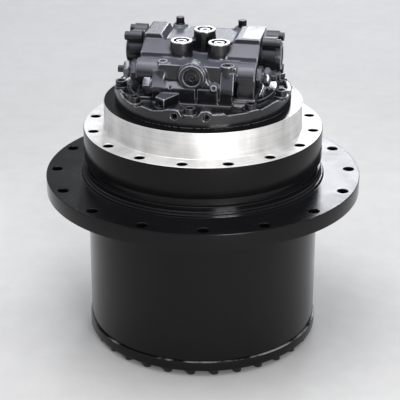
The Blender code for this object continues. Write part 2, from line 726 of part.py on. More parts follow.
def build_end_cover():
    """Dished end cover with its foot, register and thrust boss, and the screws that hold it."""
    flange_bottom = COVER_JOINT - COVER_FLANGE_THICKNESS
    dish_edge = COVER_DISH_RADIUS - COVER_REGISTER_WIDTH
    register_top = COVER_JOINT + COVER_REGISTER_HEIGHT
    boss_top = FIRST_GEAR_BOTTOM - THRUST_PAD_THICKNESS - 2 * SEAT_GAP
    profile = [
        (0.0, boss_top), (THRUST_BOSS_RADIUS, boss_top), (THRUST_BOSS_RADIUS, COVER_DISH_FLOOR),
        (dish_edge, COVER_DISH_FLOOR), (dish_edge, register_top), (COVER_DISH_RADIUS, register_top),
        (COVER_DISH_RADIUS, COVER_JOINT), (COVER_RADIUS, COVER_JOINT), (COVER_RADIUS, flange_bottom),
        (COVER_DISH_RADIUS + 8.0, flange_bottom), (COVER_DISH_RADIUS - 4.0, COVER_DISH_BOTTOM),
        (COVER_FOOT_RADIUS + 10.0, COVER_DISH_BOTTOM), (COVER_FOOT_RADIUS, 0.0), (0.0, 0.0)]
    plug_hole = bore(COVER_PLUG_STEM_RADIUS + SEAT_GAP, HOLE_FACETS)
    plugs = [cylinder(plug_hole, -5.0, COVER_DISH_FLOOR + 5.0, HOLE_FACETS, x, y)
             for x, y, _ in cover_plug_places()]
    heads = [cylinder(COVER_BOLT_HEAD_RADIUS, flange_bottom - COVER_BOLT_HEAD_HEIGHT, flange_bottom + 2.0,
                      HOLE_FACETS, x, y) for x, y, _ in cover_bolt_places()]
    cover = fused(drilled(lathe(profile, LARGE_FACETS), joined(plugs)), joined(heads))
    add_piece("end_cover", turned(cover, HUB_ANGLE), "satin_black", "hub")


def build_cover_fittings():
    """The oil plugs of the end cover, and the pad that takes the sun shaft's end."""
    head_top = COVER_DISH_BOTTOM - SEAT_GAP
    plug = [(0.0, COVER_DISH_FLOOR), (COVER_PLUG_STEM_RADIUS, COVER_DISH_FLOOR),
            (COVER_PLUG_STEM_RADIUS, head_top), (COVER_PLUG_HEAD_RADIUS, head_top),
            (COVER_PLUG_HEAD_RADIUS, head_top - COVER_PLUG_HEIGHT), (0.0, head_top - COVER_PLUG_HEIGHT)]
    for name, (x, y, _) in zip(("oil_fill_plug", "oil_drain_plug"), cover_plug_places()):
        piece = shifted(lathe(plug, HOLE_FACETS), x, y)
        add_piece(name, turned(piece, HUB_ANGLE), "bolt_steel", "hub")
    pad_bottom = FIRST_GEAR_BOTTOM - SEAT_GAP - THRUST_PAD_THICKNESS
    pad = cylinder(THRUST_PAD_RADIUS, pad_bottom, FIRST_GEAR_BOTTOM - SEAT_GAP, SMALL_FACETS)
    add_piece("thrust_pad", pad, "bronze", "hub")


# Planetary gears

def build_ring_gear():
    """The one ring gear that both stages run in, seated in the drum."""
    rim = circle(DRUM_BORE_RADIUS / math.cos(math.pi / INNER_FACETS) - SEAT_GAP, INNER_FACETS)
    gear = extrude([rim, ring_outline(RING_TEETH, MODULE)], RING_GEAR_BOTTOM, RING_GEAR_TOP)
    add_piece("ring_gear", turned(gear, HUB_ANGLE), "gear_steel", "hub")


def planet_places(first):
    """Places of a stage's planets, the first at the given angle."""
    return round_pattern(PLANET_COUNT, PLANET_CENTRE, first)


def build_carrier(name, radius, hole_radius, bottom, top, pin_radius, pin_bottom, first, body):
    """A carrier plate with the planet pins pressed into it."""
    hole = circle(bore(hole_radius, MEDIUM_FACETS), MEDIUM_FACETS)
    plate = extrude([circle(radius, MEDIUM_FACETS), hole], bottom, top)
    half_facet = math.pi / SMALL_FACETS
    pins = [cylinder(pin_radius, pin_bottom, bottom + 2.0, SMALL_FACETS, x, y, half_facet)
            for x, y, _ in planet_places(first)]
    add_piece(name, fused(plate, joined(pins)), "gear_steel", body)


def build_planets(stage, first, pin_radius, bottom, top):
    """The planets of a stage, each turned so that it is in mesh with the ring gear."""
    hole = circle(bore(pin_radius + SEAT_GAP, SMALL_FACETS), SMALL_FACETS)
    for number, (x, y, degrees) in enumerate(planet_places(first), 1):
        gear = extrude([gear_outline(PLANET_TEETH, MODULE, planet_phase(degrees)), hole], bottom, top)
        name = f"{stage}_planet_{number}"
        add_piece(name, shifted(gear, x, y), "gear_steel", name)


def build_stages():
    """Ring gear, carriers and planets of both stages."""
    build_ring_gear()
    build_carrier("first_carrier", FIRST_CARRIER_RADIUS, SUN_ROOT, FIRST_CARRIER_BOTTOM,
                  FIRST_CARRIER_TOP, FIRST_PIN_RADIUS, FIRST_GEAR_BOTTOM, FIRST_PLANET_ANGLE,
                  "first_carrier")
    build_planets("first", FIRST_PLANET_ANGLE, FIRST_PIN_RADIUS, FIRST_GEAR_BOTTOM, FIRST_GEAR_TOP)
    build_carrier("second_carrier", SECOND_CARRIER_RADIUS, NOSE_RADIUS + SEAT_GAP, SECOND_CARRIER_BOTTOM,
                  SECOND_CARRIER_TOP, SECOND_PIN_RADIUS, SECOND_GEAR_BOTTOM, SECOND_PLANET_ANGLE, "case")
    build_planets("second", SECOND_PLANET_ANGLE, SECOND_PIN_RADIUS, SECOND_GEAR_BOTTOM, SECOND_GEAR_TOP)


def build_suns():
    """First sun on its drive shaft, and the second sun splined into the first carrier."""
    gear = extrude([gear_outline(SUN_TEETH, MODULE, sun_phase(FIRST_PLANET_ANGLE))],
                   FIRST_GEAR_BOTTOM, FIRST_GEAR_TOP)
    joint = SHAFT_JOINT_Z - SEAT_GAP
    collar = SECOND_GEAR_TOP + STAGE_CLEARANCE / 2.0
    shaft = lathe([(0.0, FIRST_GEAR_TOP - 2.0), (SUN_SHAFT_RADIUS, FIRST_GEAR_TOP - 2.0),
                   (SUN_SHAFT_RADIUS, collar), (SHAFT_RADIUS, collar + SUN_SHAFT_CONE),
                   (SHAFT_RADIUS, joint), (0.0, joint)], SMALL_FACETS)
    add_piece("first_sun_shaft", fused(gear, shaft), "gear_steel", "motor_shaft")
    hole = circle(bore(SUN_SHAFT_RADIUS + RUNNING_GAP, SMALL_FACETS), SMALL_FACETS)
    toothed = extrude([gear_outline(SUN_TEETH, MODULE, sun_phase(SECOND_PLANET_ANGLE)), hole],
                      SECOND_GEAR_BOTTOM, SECOND_GEAR_TOP)
    stub = extrude([circle(SUN_ROOT - SEAT_GAP, MEDIUM_FACETS), hole], FIRST_CARRIER_BOTTOM,
                   SECOND_GEAR_BOTTOM + 2.0)
    add_piece("second_sun_gear", fused(toothed, stub), "gear_steel", "first_carrier")


# Main bearings and floating seal

def raceway_radius(side, offset, distance):
    """Radius on a line parallel to the roller axes, at a height offset from the bearing's middle."""
    return BEARING_PITCH_RADIUS + side * offset * math.tan(BEARING_TAPER) \
        + distance / math.cos(BEARING_TAPER)


def build_main_bearings():
    """Two tapered roller bearings: inner races on the spindle, outer races in the hub."""
    half = BEARING_WIDTH / 2.0
    race_gap = ROLLER_RADIUS + SEAT_GAP
    hole = bore(BEARING_BORE_RADIUS, INNER_FACETS)
    rim = bore(BEARING_OUTER_RADIUS, INNER_FACETS)
    for name, bottom, side in (("lower", LOWER_BEARING_BOTTOM, -1.0), ("upper", UPPER_BEARING_BOTTOM, 1.0)):
        middle = bottom + half
        inner = [raceway_radius(side, offset, -race_gap) for offset in (half, -half)]
        outer = [bore(raceway_radius(side, offset, race_gap), INNER_FACETS) for offset in (-half, half)]
        inner_race = lathe([(inner[0], middle + half), (inner[1], middle - half),
                            (hole, middle - half), (hole, middle + half)], INNER_FACETS)
        outer_race = lathe([(rim, middle + half), (rim, middle - half),
                            (outer[0], middle - half), (outer[1], middle + half)], INNER_FACETS)
        add_piece(f"{name}_bearing_inner_race", inner_race, "turned_steel", "case")
        add_piece(f"{name}_bearing_outer_race", turned(outer_race, HUB_ANGLE), "turned_steel", "hub")
        add_piece(f"{name}_bearing_rollers", roller_cage(side, middle), "turned_steel", "bearing_rollers")
    nut = ring(BEARING_BORE_RADIUS - NUT_THREAD_STEP, NUT_RADIUS, NUT_BOTTOM, NUT_TOP, INNER_FACETS)
    add_piece("bearing_nut", nut, "gear_steel", "case")


def roller_cage(side, middle):
    """The rollers of one bearing, held by the cage ring at their small ends."""
    rollers = []
    for x, y, degrees in round_pattern(ROLLER_COUNT, BEARING_PITCH_RADIUS):
        roller = cylinder(ROLLER_RADIUS, -ROLLER_LENGTH / 2.0, ROLLER_LENGTH / 2.0, HOLE_FACETS)
        turned(roller, side * math.degrees(BEARING_TAPER), "Y")
        rollers.append(shifted(turned(roller, degrees), x, y, middle))
    near = -side * (ROLLER_LENGTH / 2.0 - 2.0)
    low, high = sorted((near, near - side * CAGE_WALL))
    radius = raceway_radius(side, near, 0.0)
    cage = lathe([(radius + CAGE_WIDTH / 2.0, middle + high), (radius + CAGE_WIDTH / 2.0, middle + low),
                  (radius - CAGE_WIDTH / 2.0, middle + low), (radius - CAGE_WIDTH / 2.0, middle + high)],
                 2 * ROLLER_COUNT, math.pi / (2 * ROLLER_COUNT))
    return fused(cage, joined(rollers))


def build_floating_seal():
    """Two lapped seal rings, each carried by a rubber ring in its housing."""
    middle = (SEAL_RING_OUTER_RADIUS + SEAL_HOUSING_RADIUS) / 2.0
    wire = (SEAL_HOUSING_RADIUS - SEAL_RING_OUTER_RADIUS) / 2.0 - SEAT_GAP
    for name, face, side, body in (("hub", SEAL_FACE - SEAT_GAP, -1.0, "hub"),
                                   ("case", SEAL_FACE, 1.0, "case")):
        far = face + side * (SEAL_RING_HEIGHT - SEAT_GAP)
        inner = bore(SEAL_RING_INNER_RADIUS, INNER_FACETS)
        rim = face + side * 4.0
        metal = lathe([(SEAL_RING_OUTER_RADIUS + 4.0, face), (SEAL_RING_OUTER_RADIUS + 4.0, rim),
                       (SEAL_RING_OUTER_RADIUS, rim), (SEAL_RING_OUTER_RADIUS, far),
                       (inner, far), (inner, face)], INNER_FACETS)
        height = face + side * (SEAL_RING_HEIGHT + 4.0) / 2.0
        rubber = lathe([(middle + x, height + z) for x, z in circle(wire, O_RING_FACETS)], INNER_FACETS)
        turn = HUB_ANGLE if body == "hub" else 0.0
        add_piece(f"{name}_seal_ring", turned(metal, turn), "turned_steel", body)
        add_piece(f"{name}_seal_rubber", turned(rubber, turn), "seal_rubber", body)


# Case

def case_bolt_places():
    """Tapped holes for the track frame's bolts."""
    return round_pattern(CASE_BOLT_COUNT, CASE_BOLT_CIRCLE, -90.0)


def rear_bolt_places():
    """Places of the rear cover's screws."""
    return [(REAR_BOLT_CIRCLE * math.cos(math.radians(a)), REAR_BOLT_CIRCLE * math.sin(math.radians(a)))
            for a in REAR_BOLT_ANGLES]


def build_case():
    """Frame flange, pilot and spindle in one forging, hollow for the motor."""
    flange_edge = CASE_FLANGE_RADIUS - CASE_FLANGE_CHAMFER
    seal_roof = SEAL_FACE + SEAL_RING_HEIGHT + SEAT_GAP
    skirt_bottom = CASE_BOTTOM - SKIRT_LENGTH
    thread_radius = BEARING_BORE_RADIUS - NUT_THREAD_STEP - SEAT_GAP
    seat_radius = BEARING_BORE_RADIUS - SEAT_GAP
    upper = [
        (0.0, CASE_TOP), (PILOT_RADIUS, CASE_TOP), (PILOT_RADIUS, CASE_FLANGE_TOP),
        (flange_edge, CASE_FLANGE_TOP),
        (CASE_FLANGE_RADIUS, CASE_FLANGE_TOP - CASE_FLANGE_CHAMFER),
        (CASE_FLANGE_RADIUS, CASE_BOTTOM), (0.0, CASE_BOTTOM)]
    lower = [
        (0.0, CASE_BOTTOM + 8.0), (SKIRT_RADIUS, CASE_BOTTOM + 8.0), (SKIRT_RADIUS, skirt_bottom),
        (bore(SEAL_HOUSING_RADIUS, INNER_FACETS), skirt_bottom),
        (bore(SEAL_HOUSING_RADIUS, INNER_FACETS), seal_roof), (SPINDLE_NECK_RADIUS, seal_roof),
        (SPINDLE_NECK_RADIUS, UPPER_BEARING_TOP + 8.0), (SPINDLE_SHOULDER_RADIUS, UPPER_BEARING_TOP + 8.0),
        (SPINDLE_SHOULDER_RADIUS, UPPER_BEARING_TOP + SEAT_GAP),
        (seat_radius, UPPER_BEARING_TOP + SEAT_GAP), (seat_radius, NUT_TOP),
        (thread_radius, NUT_TOP), (thread_radius, NUT_BOTTOM), (NOSE_RADIUS, NUT_BOTTOM),
        (NOSE_RADIUS, SECOND_CARRIER_BOTTOM), (0.0, SECOND_CARRIER_BOTTOM)]
    turning = math.radians(-90.0)
    frame_holes = [cylinder(CASE_BOLT_HOLE_RADIUS, CASE_FLANGE_TOP - CASE_BOLT_HOLE_DEPTH,
                            CASE_FLANGE_TOP + 5.0, BOLT_FACETS, x, y)
                   for x, y, _ in case_bolt_places()]
    piston_hole = cylinder(bore(SPEED_PISTON_RADIUS + SEAT_GAP, HOLE_FACETS), SPEED_PISTON_FOOT - 1.0,
                           CAVITY_FLOOR + 5.0, HOLE_FACETS, 0.0, SPEED_PISTON_Y)
    case = fused(lathe(upper, LARGE_FACETS, turning), lathe(lower, INNER_FACETS, turning))
    case = drilled(case, motor_cavity(turning), joined(frame_holes + [piston_hole]))
    add_piece("spindle_case", fused(case, joined(pivot_posts())), "turned_steel", "case")


def motor_cavity(turning):
    """The hollow of the case, from the shaft hole up to the rear cover's joint."""
    pocket = bore(SHAFT_BEARING_RADIUS + SEAT_GAP, MEDIUM_FACETS)
    bearing_top = SHAFT_BEARING_Z + SHAFT_BEARING_WIDTH + SEAT_GAP
    cavity = bore(CAVITY_RADIUS, MEDIUM_FACETS)
    swash_cavity = bore(SWASH_CAVITY_RADIUS, MEDIUM_FACETS)
    return lathe([
        (0.0, CASE_TOP + 5.0), (cavity, CASE_TOP + 5.0), (cavity, BRAKE_SHOULDER),
        (swash_cavity, BRAKE_SHOULDER), (swash_cavity, CAVITY_FLOOR), (SHAFT_HOLE_RADIUS, CAVITY_FLOOR),
        (SHAFT_HOLE_RADIUS, bearing_top), (pocket, bearing_top), (pocket, SHAFT_BEARING_Z),
        (SHAFT_HOLE_RADIUS, SHAFT_BEARING_Z), (SHAFT_HOLE_RADIUS, SECOND_CARRIER_BOTTOM - 5.0),
        (0.0, SECOND_CARRIER_BOTTOM - 5.0)], MEDIUM_FACETS, turning)


def pivot_posts():
    """Two posts on the cavity floor, each with the steel ball that the swash plate rocks on."""
    posts = []
    for x in (-PIVOT_BALL_X, PIVOT_BALL_X):
        neck = SWASH_AXIS_Z - PIVOT_BALL_RADIUS * 0.8
        profile = [(0.0, SWASH_AXIS_Z + PIVOT_BALL_RADIUS),
                   (PIVOT_BALL_RADIUS * 0.7, SWASH_AXIS_Z + PIVOT_BALL_RADIUS * 0.7),
                   (PIVOT_BALL_RADIUS, SWASH_AXIS_Z), (PIVOT_BALL_RADIUS * 0.6, neck),
                   (PIVOT_BALL_RADIUS * 1.2, neck), (PIVOT_BALL_RADIUS * 1.2, CAVITY_FLOOR - 2.0),
                   (0.0, CAVITY_FLOOR - 2.0)]
        posts.append(shifted(lathe(profile, HOLE_FACETS), x))
    return posts


# Motor

def build_shaft():
    """Motor shaft with its two roller bearings, seal and coupling sleeve."""
    bearing_bottoms = {"lower": SHAFT_BEARING_Z + SEAT_GAP, "upper": REAR_COVER_BOTTOM + 4.0}
    top = bearing_bottoms["upper"] + SHAFT_BEARING_WIDTH
    add_piece("motor_shaft", cylinder(SHAFT_RADIUS, SHAFT_JOINT_Z, top, SMALL_FACETS),
              "gear_steel", "motor_shaft")
    hole = bore(SHAFT_RADIUS + SEAT_GAP, SMALL_FACETS)
    rim = bore(SHAFT_BEARING_RADIUS, MEDIUM_FACETS)
    for name, bottom in bearing_bottoms.items():
        bearing = extrude([circle(rim, MEDIUM_FACETS, turn=math.radians(-90.0)),
                           circle(hole, SMALL_FACETS)], bottom, bottom + SHAFT_BEARING_WIDTH)
        add_piece(f"{name}_shaft_bearing", bearing, "turned_steel", "case")
    seal_top = SHAFT_BEARING_Z - 4.0
    seal = extrude([circle(SHAFT_HOLE_RADIUS - SEAT_GAP, MEDIUM_FACETS, turn=math.radians(-90.0)),
                    circle(hole, SMALL_FACETS)], seal_top - SHAFT_SEAL_WIDTH, seal_top)
    add_piece("shaft_seal", seal, "seal_rubber", "case")
    low, high = SHAFT_JOINT_Z - COUPLING_LENGTH / 2.0, SHAFT_JOINT_Z + COUPLING_LENGTH / 2.0
    sleeve = extrude([circle(SHAFT_RADIUS + COUPLING_WALL, SMALL_FACETS),
                      circle(SHAFT_RADIUS + bore(SEAT_GAP, SMALL_FACETS), SMALL_FACETS)], low, high)
    add_piece("shaft_coupling", sleeve, "gear_steel", "motor_shaft")


def swash_underside():
    """Distance from the tilt axis to the underside of the swash plate."""
    return PIVOT_BALL_RADIUS + SEAT_GAP


def build_swash():
    """Swash plate on two pivot balls, and the piston that changes its angle."""
    bottom = swash_underside()
    plate = ring(SWASH_BORE_RADIUS, SWASH_RADIUS, bottom, bottom + SWASH_THICKNESS, MEDIUM_FACETS)
    tilted = shifted(turned(plate, -SWASH_ANGLE, "X"), z=SWASH_AXIS_Z)
    add_piece("swash_plate", tilted, "gear_steel", "swash_plate")
    reach = SWASH_AXIS_Z + bottom / math.cos(math.radians(SWASH_ANGLE)) \
        - SPEED_PISTON_Y * math.tan(math.radians(SWASH_ANGLE)) - 2 * SEAT_GAP
    dome = 3.0
    radius = SPEED_PISTON_RADIUS
    profile = [(0.0, reach), (radius * 0.35, reach - dome * 0.4), (radius * 0.6, reach - dome * 1.3),
               (radius * 0.62, CAVITY_FLOOR), (radius, CAVITY_FLOOR - 2.0),
               (radius, SPEED_PISTON_FOOT), (0.0, SPEED_PISTON_FOOT)]
    piston = shifted(lathe(profile, HOLE_FACETS), 0.0, SPEED_PISTON_Y)
    add_piece("speed_change_piston", piston, "turned_steel", "speed_change_piston")


def shoe_level():
    """Height of the highest point that the swash plate offers to the shoes."""
    tilt = math.radians(SWASH_ANGLE)
    face = (swash_underside() + SWASH_THICKNESS) / math.cos(tilt)
    return SWASH_AXIS_Z + face + SWASH_RADIUS * math.sin(tilt) + SEAT_GAP


def build_cylinder_block():
    """Cylinder block with the pistons on their retainer, and the valve plate above it."""
    places = round_pattern(PISTON_COUNT, BLOCK_BORE_CIRCLE)
    bores = [circle(bore(PISTON_RADIUS + SEAT_GAP, HOLE_FACETS), HOLE_FACETS, (x, y))
             for x, y, _ in places]
    shaft_bore = circle(SHAFT_RADIUS + bore(SEAT_GAP, SMALL_FACETS), SMALL_FACETS)
    block = extrude([circle(BLOCK_RADIUS, MEDIUM_FACETS), shaft_bore] + bores,
                    BLOCK_BOTTOM, BLOCK_CYLINDER_TOP)
    add_piece("cylinder_block", block, "gear_steel", "motor_shaft")
    shoe_bottom = shoe_level()
    shoe_top = shoe_bottom + SHOE_THICKNESS
    radius = bore(PISTON_RADIUS, HOLE_FACETS)
    profile = [(0.0, PISTON_TOP), (radius, PISTON_TOP), (radius, shoe_top),
               (SHOE_RADIUS, shoe_top), (SHOE_RADIUS, shoe_bottom), (0.0, shoe_bottom)]
    pistons = [shifted(lathe(profile, HOLE_FACETS), x, y) for x, y, _ in places]
    retainer_hole = circle(SHAFT_RADIUS + RUNNING_GAP, SMALL_FACETS)
    retainer = extrude([circle(RETAINER_RADIUS, MEDIUM_FACETS), retainer_hole],
                       shoe_top - 1.0, shoe_top + RETAINER_THICKNESS)
    add_piece("pistons_and_retainer", fused(retainer, joined(pistons)), "turned_steel", "motor_shaft")
    plate = ring(SHAFT_RADIUS + RUNNING_GAP, VALVE_PLATE_RADIUS, VALVE_PLATE_BOTTOM, CASE_TOP,
                 MEDIUM_FACETS)
    add_piece("valve_plate", plate, "bronze", "case")


def build_brake():
    """Parking brake: friction plates on the block, a steel plate in the case, piston and spring."""
    level = BRAKE_SHOULDER + SEAT_GAP
    plate_hole = BLOCK_RADIUS / math.cos(math.pi / MEDIUM_FACETS) + SEAT_GAP
    for number in range(2 * BRAKE_FRICTION_COUNT - 1):
        end = level + BRAKE_PLATE_THICKNESS
        if number % 2:
            plate = ring(BRAKE_STEEL_INNER, CAVITY_RADIUS - SEAT_GAP, level, end, MEDIUM_FACETS)
            add_piece(f"brake_steel_plate_{number // 2 + 1}", plate, "gear_steel", "case")
        else:
            plate = extrude([circle(BRAKE_FRICTION_OUTER, MEDIUM_FACETS),
                             circle(plate_hole, MEDIUM_FACETS)], level, end)
            add_piece(f"brake_friction_plate_{number // 2 + 1}", plate, "bronze", "motor_shaft")
        level = end + BRAKE_PLATE_GAP
    piston_top = level + BRAKE_PISTON_HEIGHT
    piston = ring(BRAKE_PISTON_INNER, CAVITY_RADIUS - SEAT_GAP, level, piston_top, MEDIUM_FACETS)
    add_piece("brake_piston", piston, "gear_steel", "brake_piston")
    inner, outer = BRAKE_PISTON_INNER + 6.0, CAVITY_RADIUS - 4.0
    bottom, top = piston_top + SEAT_GAP, CASE_TOP
    spring = lathe([(outer, bottom + BRAKE_SPRING_WALL), (outer, bottom), (outer - 3.0, bottom),
                    (inner, top - BRAKE_SPRING_WALL), (inner, top), (inner + 3.0, top)], MEDIUM_FACETS)
    add_piece("brake_spring", spring, "gear_steel", "case")


# Rear cover and valve block

def shoulder_outline():
    """Side view of one shoulder of the casting, as (y, z): gallery, ramp, pad and back."""
    points = [(GALLERY_Y - GALLERY_RADIUS, GALLERY_FOOT_Z),
              (GALLERY_Y + GALLERY_FOOT_LENGTH, REAR_COVER_TOP - 6.0),
              (BLOCK_BACK, REAR_COVER_TOP - 6.0), (BLOCK_BACK, BLOCK_TOP),
              (SHOULDER_PAD_BACK + 12.0, BRIDGE_TOP), (SHOULDER_PAD_BACK, BRIDGE_TOP),
              (SHOULDER_PAD_BACK, SHOULDER_TOP), (SHOULDER_PAD_FRONT, SHOULDER_TOP),
              (SHOULDER_PAD_FRONT, SHOULDER_TOP - SHOULDER_STEP)]
    ramp_foot = GALLERY_Y + GALLERY_RADIUS
    points += [(ramp_foot + 4.0, GALLERY_Z + GALLERY_RADIUS + 4.0),
               (ramp_foot - 3.0, GALLERY_Z + GALLERY_RADIUS)]
    steps = 6
    for i in range(steps + 1):
        angle = math.radians(90.0 + 90.0 * i / steps)
        points.append((GALLERY_Y + GALLERY_RADIUS * math.cos(angle),
                       GALLERY_Z + GALLERY_RADIUS * math.sin(angle)))
    return points


def on_side(outline, x0, x1):
    """Raise an outline of (y, z) points along X."""
    axes = Matrix(((0.0, 0.0, 1.0, 0.0), (1.0, 0.0, 0.0, 0.0),
                   (0.0, 1.0, 0.0, 0.0), (0.0, 0.0, 0.0, 1.0)))
    return moved(extrude([outline], x0, x1), axes)


def spool_cylinder(radius, x0, x1, facets):
    """A cylinder on the spool's axis."""
    return shifted(along_x(cylinder(radius, x0, x1, facets)), 0.0, SPOOL_Y, SPOOL_Z)


def gallery_cylinder(radius, x0, x1, facets):
    """A cylinder on the relief valves' axis."""
    return shifted(along_x(cylinder(radius, x0, x1, facets)), 0.0, GALLERY_Y, GALLERY_Z)


def build_rear_cover():
    """Rear cover and valve block in one casting."""
    crown_top = REAR_COVER_TOP + REAR_CROWN_HEIGHT
    rim_top = REAR_COVER_TOP - 2.0
    base = lathe([(0.0, crown_top), (REAR_CROWN_RADIUS, crown_top),
                  (REAR_CROWN_RADIUS + 6.0, rim_top), (REAR_COVER_RADIUS, rim_top),
                  (REAR_COVER_RADIUS, REAR_COVER_BOTTOM), (0.0, REAR_COVER_BOTTOM)],
                 LARGE_FACETS, math.radians(3.0))
    deep = REAR_COVER_BOTTOM + 8.0
    forms = [
        box(-BLOCK_HALF_WIDTH, BLOCK_HALF_WIDTH, BLOCK_FRONT, BLOCK_BACK - 1.0, deep, BLOCK_TOP),
        box(-BRIDGE_HALF_WIDTH, BRIDGE_HALF_WIDTH, BRIDGE_FRONT, BLOCK_BACK - 10.0, deep + 1.0,
            BRIDGE_TOP - 0.5),
        on_side(shoulder_outline(), SHOULDER_INNER, SHOULDER_OUTER),
        on_side(shoulder_outline(), -SHOULDER_OUTER, -SHOULDER_INNER)]
    forms += front_forms(deep) + rim_forms()
    boss = along_front(cylinder(FRONT_BOSS_RADIUS, -BLOCK_FRONT - 12.0, -FRONT_BOSS_FRONT, MEDIUM_FACETS))
    forms.append(shifted(boss, FRONT_BOSS_X, 0.0, FRONT_BOSS_Z))
    for side in (-1.0, 1.0):
        forms.append(cylinder(PORT_BOSS_RADIUS, BLOCK_TOP - 12.0, PORT_TOP, MEDIUM_FACETS,
                              side * PORT_X, PORT_Y))
        forms.append(cylinder(BACK_BOSS_RADIUS, BLOCK_TOP - 14.0, BACK_BOSS_TOP, SMALL_FACETS,
                              side * BACK_PLUG_X, BACK_PLUG_Y))
        housing = spool_cylinder(CAP_BODY_RADIUS - 2.0, side * (SHOULDER_OUTER - 6.0), side * CAP_SEAT_X,
                                 MEDIUM_FACETS)
        forms.append(finish_faces(housing))
    forms.append(cylinder(CENTRE_PORT_RADIUS, BRIDGE_TOP - 12.0, CENTRE_PORT_TOP, MEDIUM_FACETS,
                          0.0, CENTRE_PORT_Y))
    for x, y in rear_bolt_places():
        forms.append(cylinder(REAR_BOLT_HEAD_RADIUS, REAR_COVER_TOP - 5.0,
                              REAR_COVER_TOP + REAR_BOLT_HEAD_HEIGHT, BOLT_FACETS, x, y, 0.2))
    casting = fused(base, *forms)
    add_piece("rear_cover", drilled(casting, *rear_cover_bores()), "casting_black", "case")


def on_front(outline, y0, y1):
    """Raise an outline of (x, z) points along Y."""
    return turned(extrude([outline], -y1, -y0), 90.0, "X")


def front_forms(deep):
    """The front of the casting: sloping block, plate with a cut corner, slanted boss and lug."""
    inside = BLOCK_FRONT + 9.0
    block = [(inside, deep + 2.0), (inside, FRONT_BLOCK_TOP + FRONT_BLOCK_SLOPE),
             (FRONT_BLOCK_FRONT + FRONT_BLOCK_SLOPE, FRONT_BLOCK_TOP + FRONT_BLOCK_SLOPE),
             (FRONT_BLOCK_FRONT, FRONT_BLOCK_TOP), (FRONT_BLOCK_FRONT, deep + 2.0)]
    slant = [(inside - 1.0, FRONT_BLOCK_TOP - 1.0), (inside - 1.0, SLANT_BOSS_TOP),
             (FRONT_PLATE_FRONT - 2.0, SLANT_BOSS_TOP), (FRONT_BLOCK_FRONT - 0.7, FRONT_BLOCK_TOP + 3.0),
             (FRONT_BLOCK_FRONT - 0.7, FRONT_BLOCK_TOP - 1.0)]
    corner = FRONT_PLATE_CORNER
    plate = [(FRONT_PLATE_LEFT, FRONT_PLATE_TOP), (FRONT_PLATE_LEFT, FRONT_PLATE_BOTTOM + corner),
             (FRONT_PLATE_LEFT + corner * 0.3, FRONT_PLATE_BOTTOM + corner * 0.3),
             (FRONT_PLATE_LEFT + corner, FRONT_PLATE_BOTTOM - 1.0),
             (FRONT_PLATE_RIGHT - 1.5 * corner, FRONT_PLATE_BOTTOM - 1.0),
             (FRONT_PLATE_RIGHT, FRONT_PLATE_BOTTOM + corner), (FRONT_PLATE_RIGHT, FRONT_PLATE_TOP)]
    right = FRONT_BLOCK_RIGHT - 0.8
    lug = extrude([FRONT_LUG], REAR_COVER_TOP - 6.0, FRONT_LUG_TOP)
    return [on_side(block, FRONT_BLOCK_LEFT, FRONT_BLOCK_RIGHT),
            on_front(plate, FRONT_PLATE_FRONT, GALLERY_Y),
            on_side(slant, right - SLANT_BOSS_WIDTH, right), lug]


def rim_boss(degrees, radius, inner, outer):
    """A cylinder that points outwards from the axis at the rim of the rear cover."""
    lying = shifted(along_x(cylinder(radius, inner, outer, SMALL_FACETS)), z=RIM_BOSS_Z)
    return turned(lying, degrees)


def rim_forms():
    """Two drilled bosses at the front of the cover's rim and the raised pads beside them."""
    forms = []
    reach = REAR_COVER_RADIUS * 0.985
    for degrees, side in zip(RIM_BOSS_ANGLES, (-1.0, 1.0)):
        forms.append(rim_boss(degrees, RIM_BOSS_RADIUS, REAR_CROWN_RADIUS - 2.0, reach))
        pad = box(REAR_CROWN_RADIUS - 2.5, reach - 1.5, -RIM_PAD_WIDTH / 2.0, RIM_PAD_WIDTH / 2.0,
                  REAR_COVER_TOP - 6.0, RIM_PAD_TOP)
        forms.append(turned(pad, degrees + side * math.degrees(RIM_PAD_WIDTH * 0.9 / reach)))
    return forms


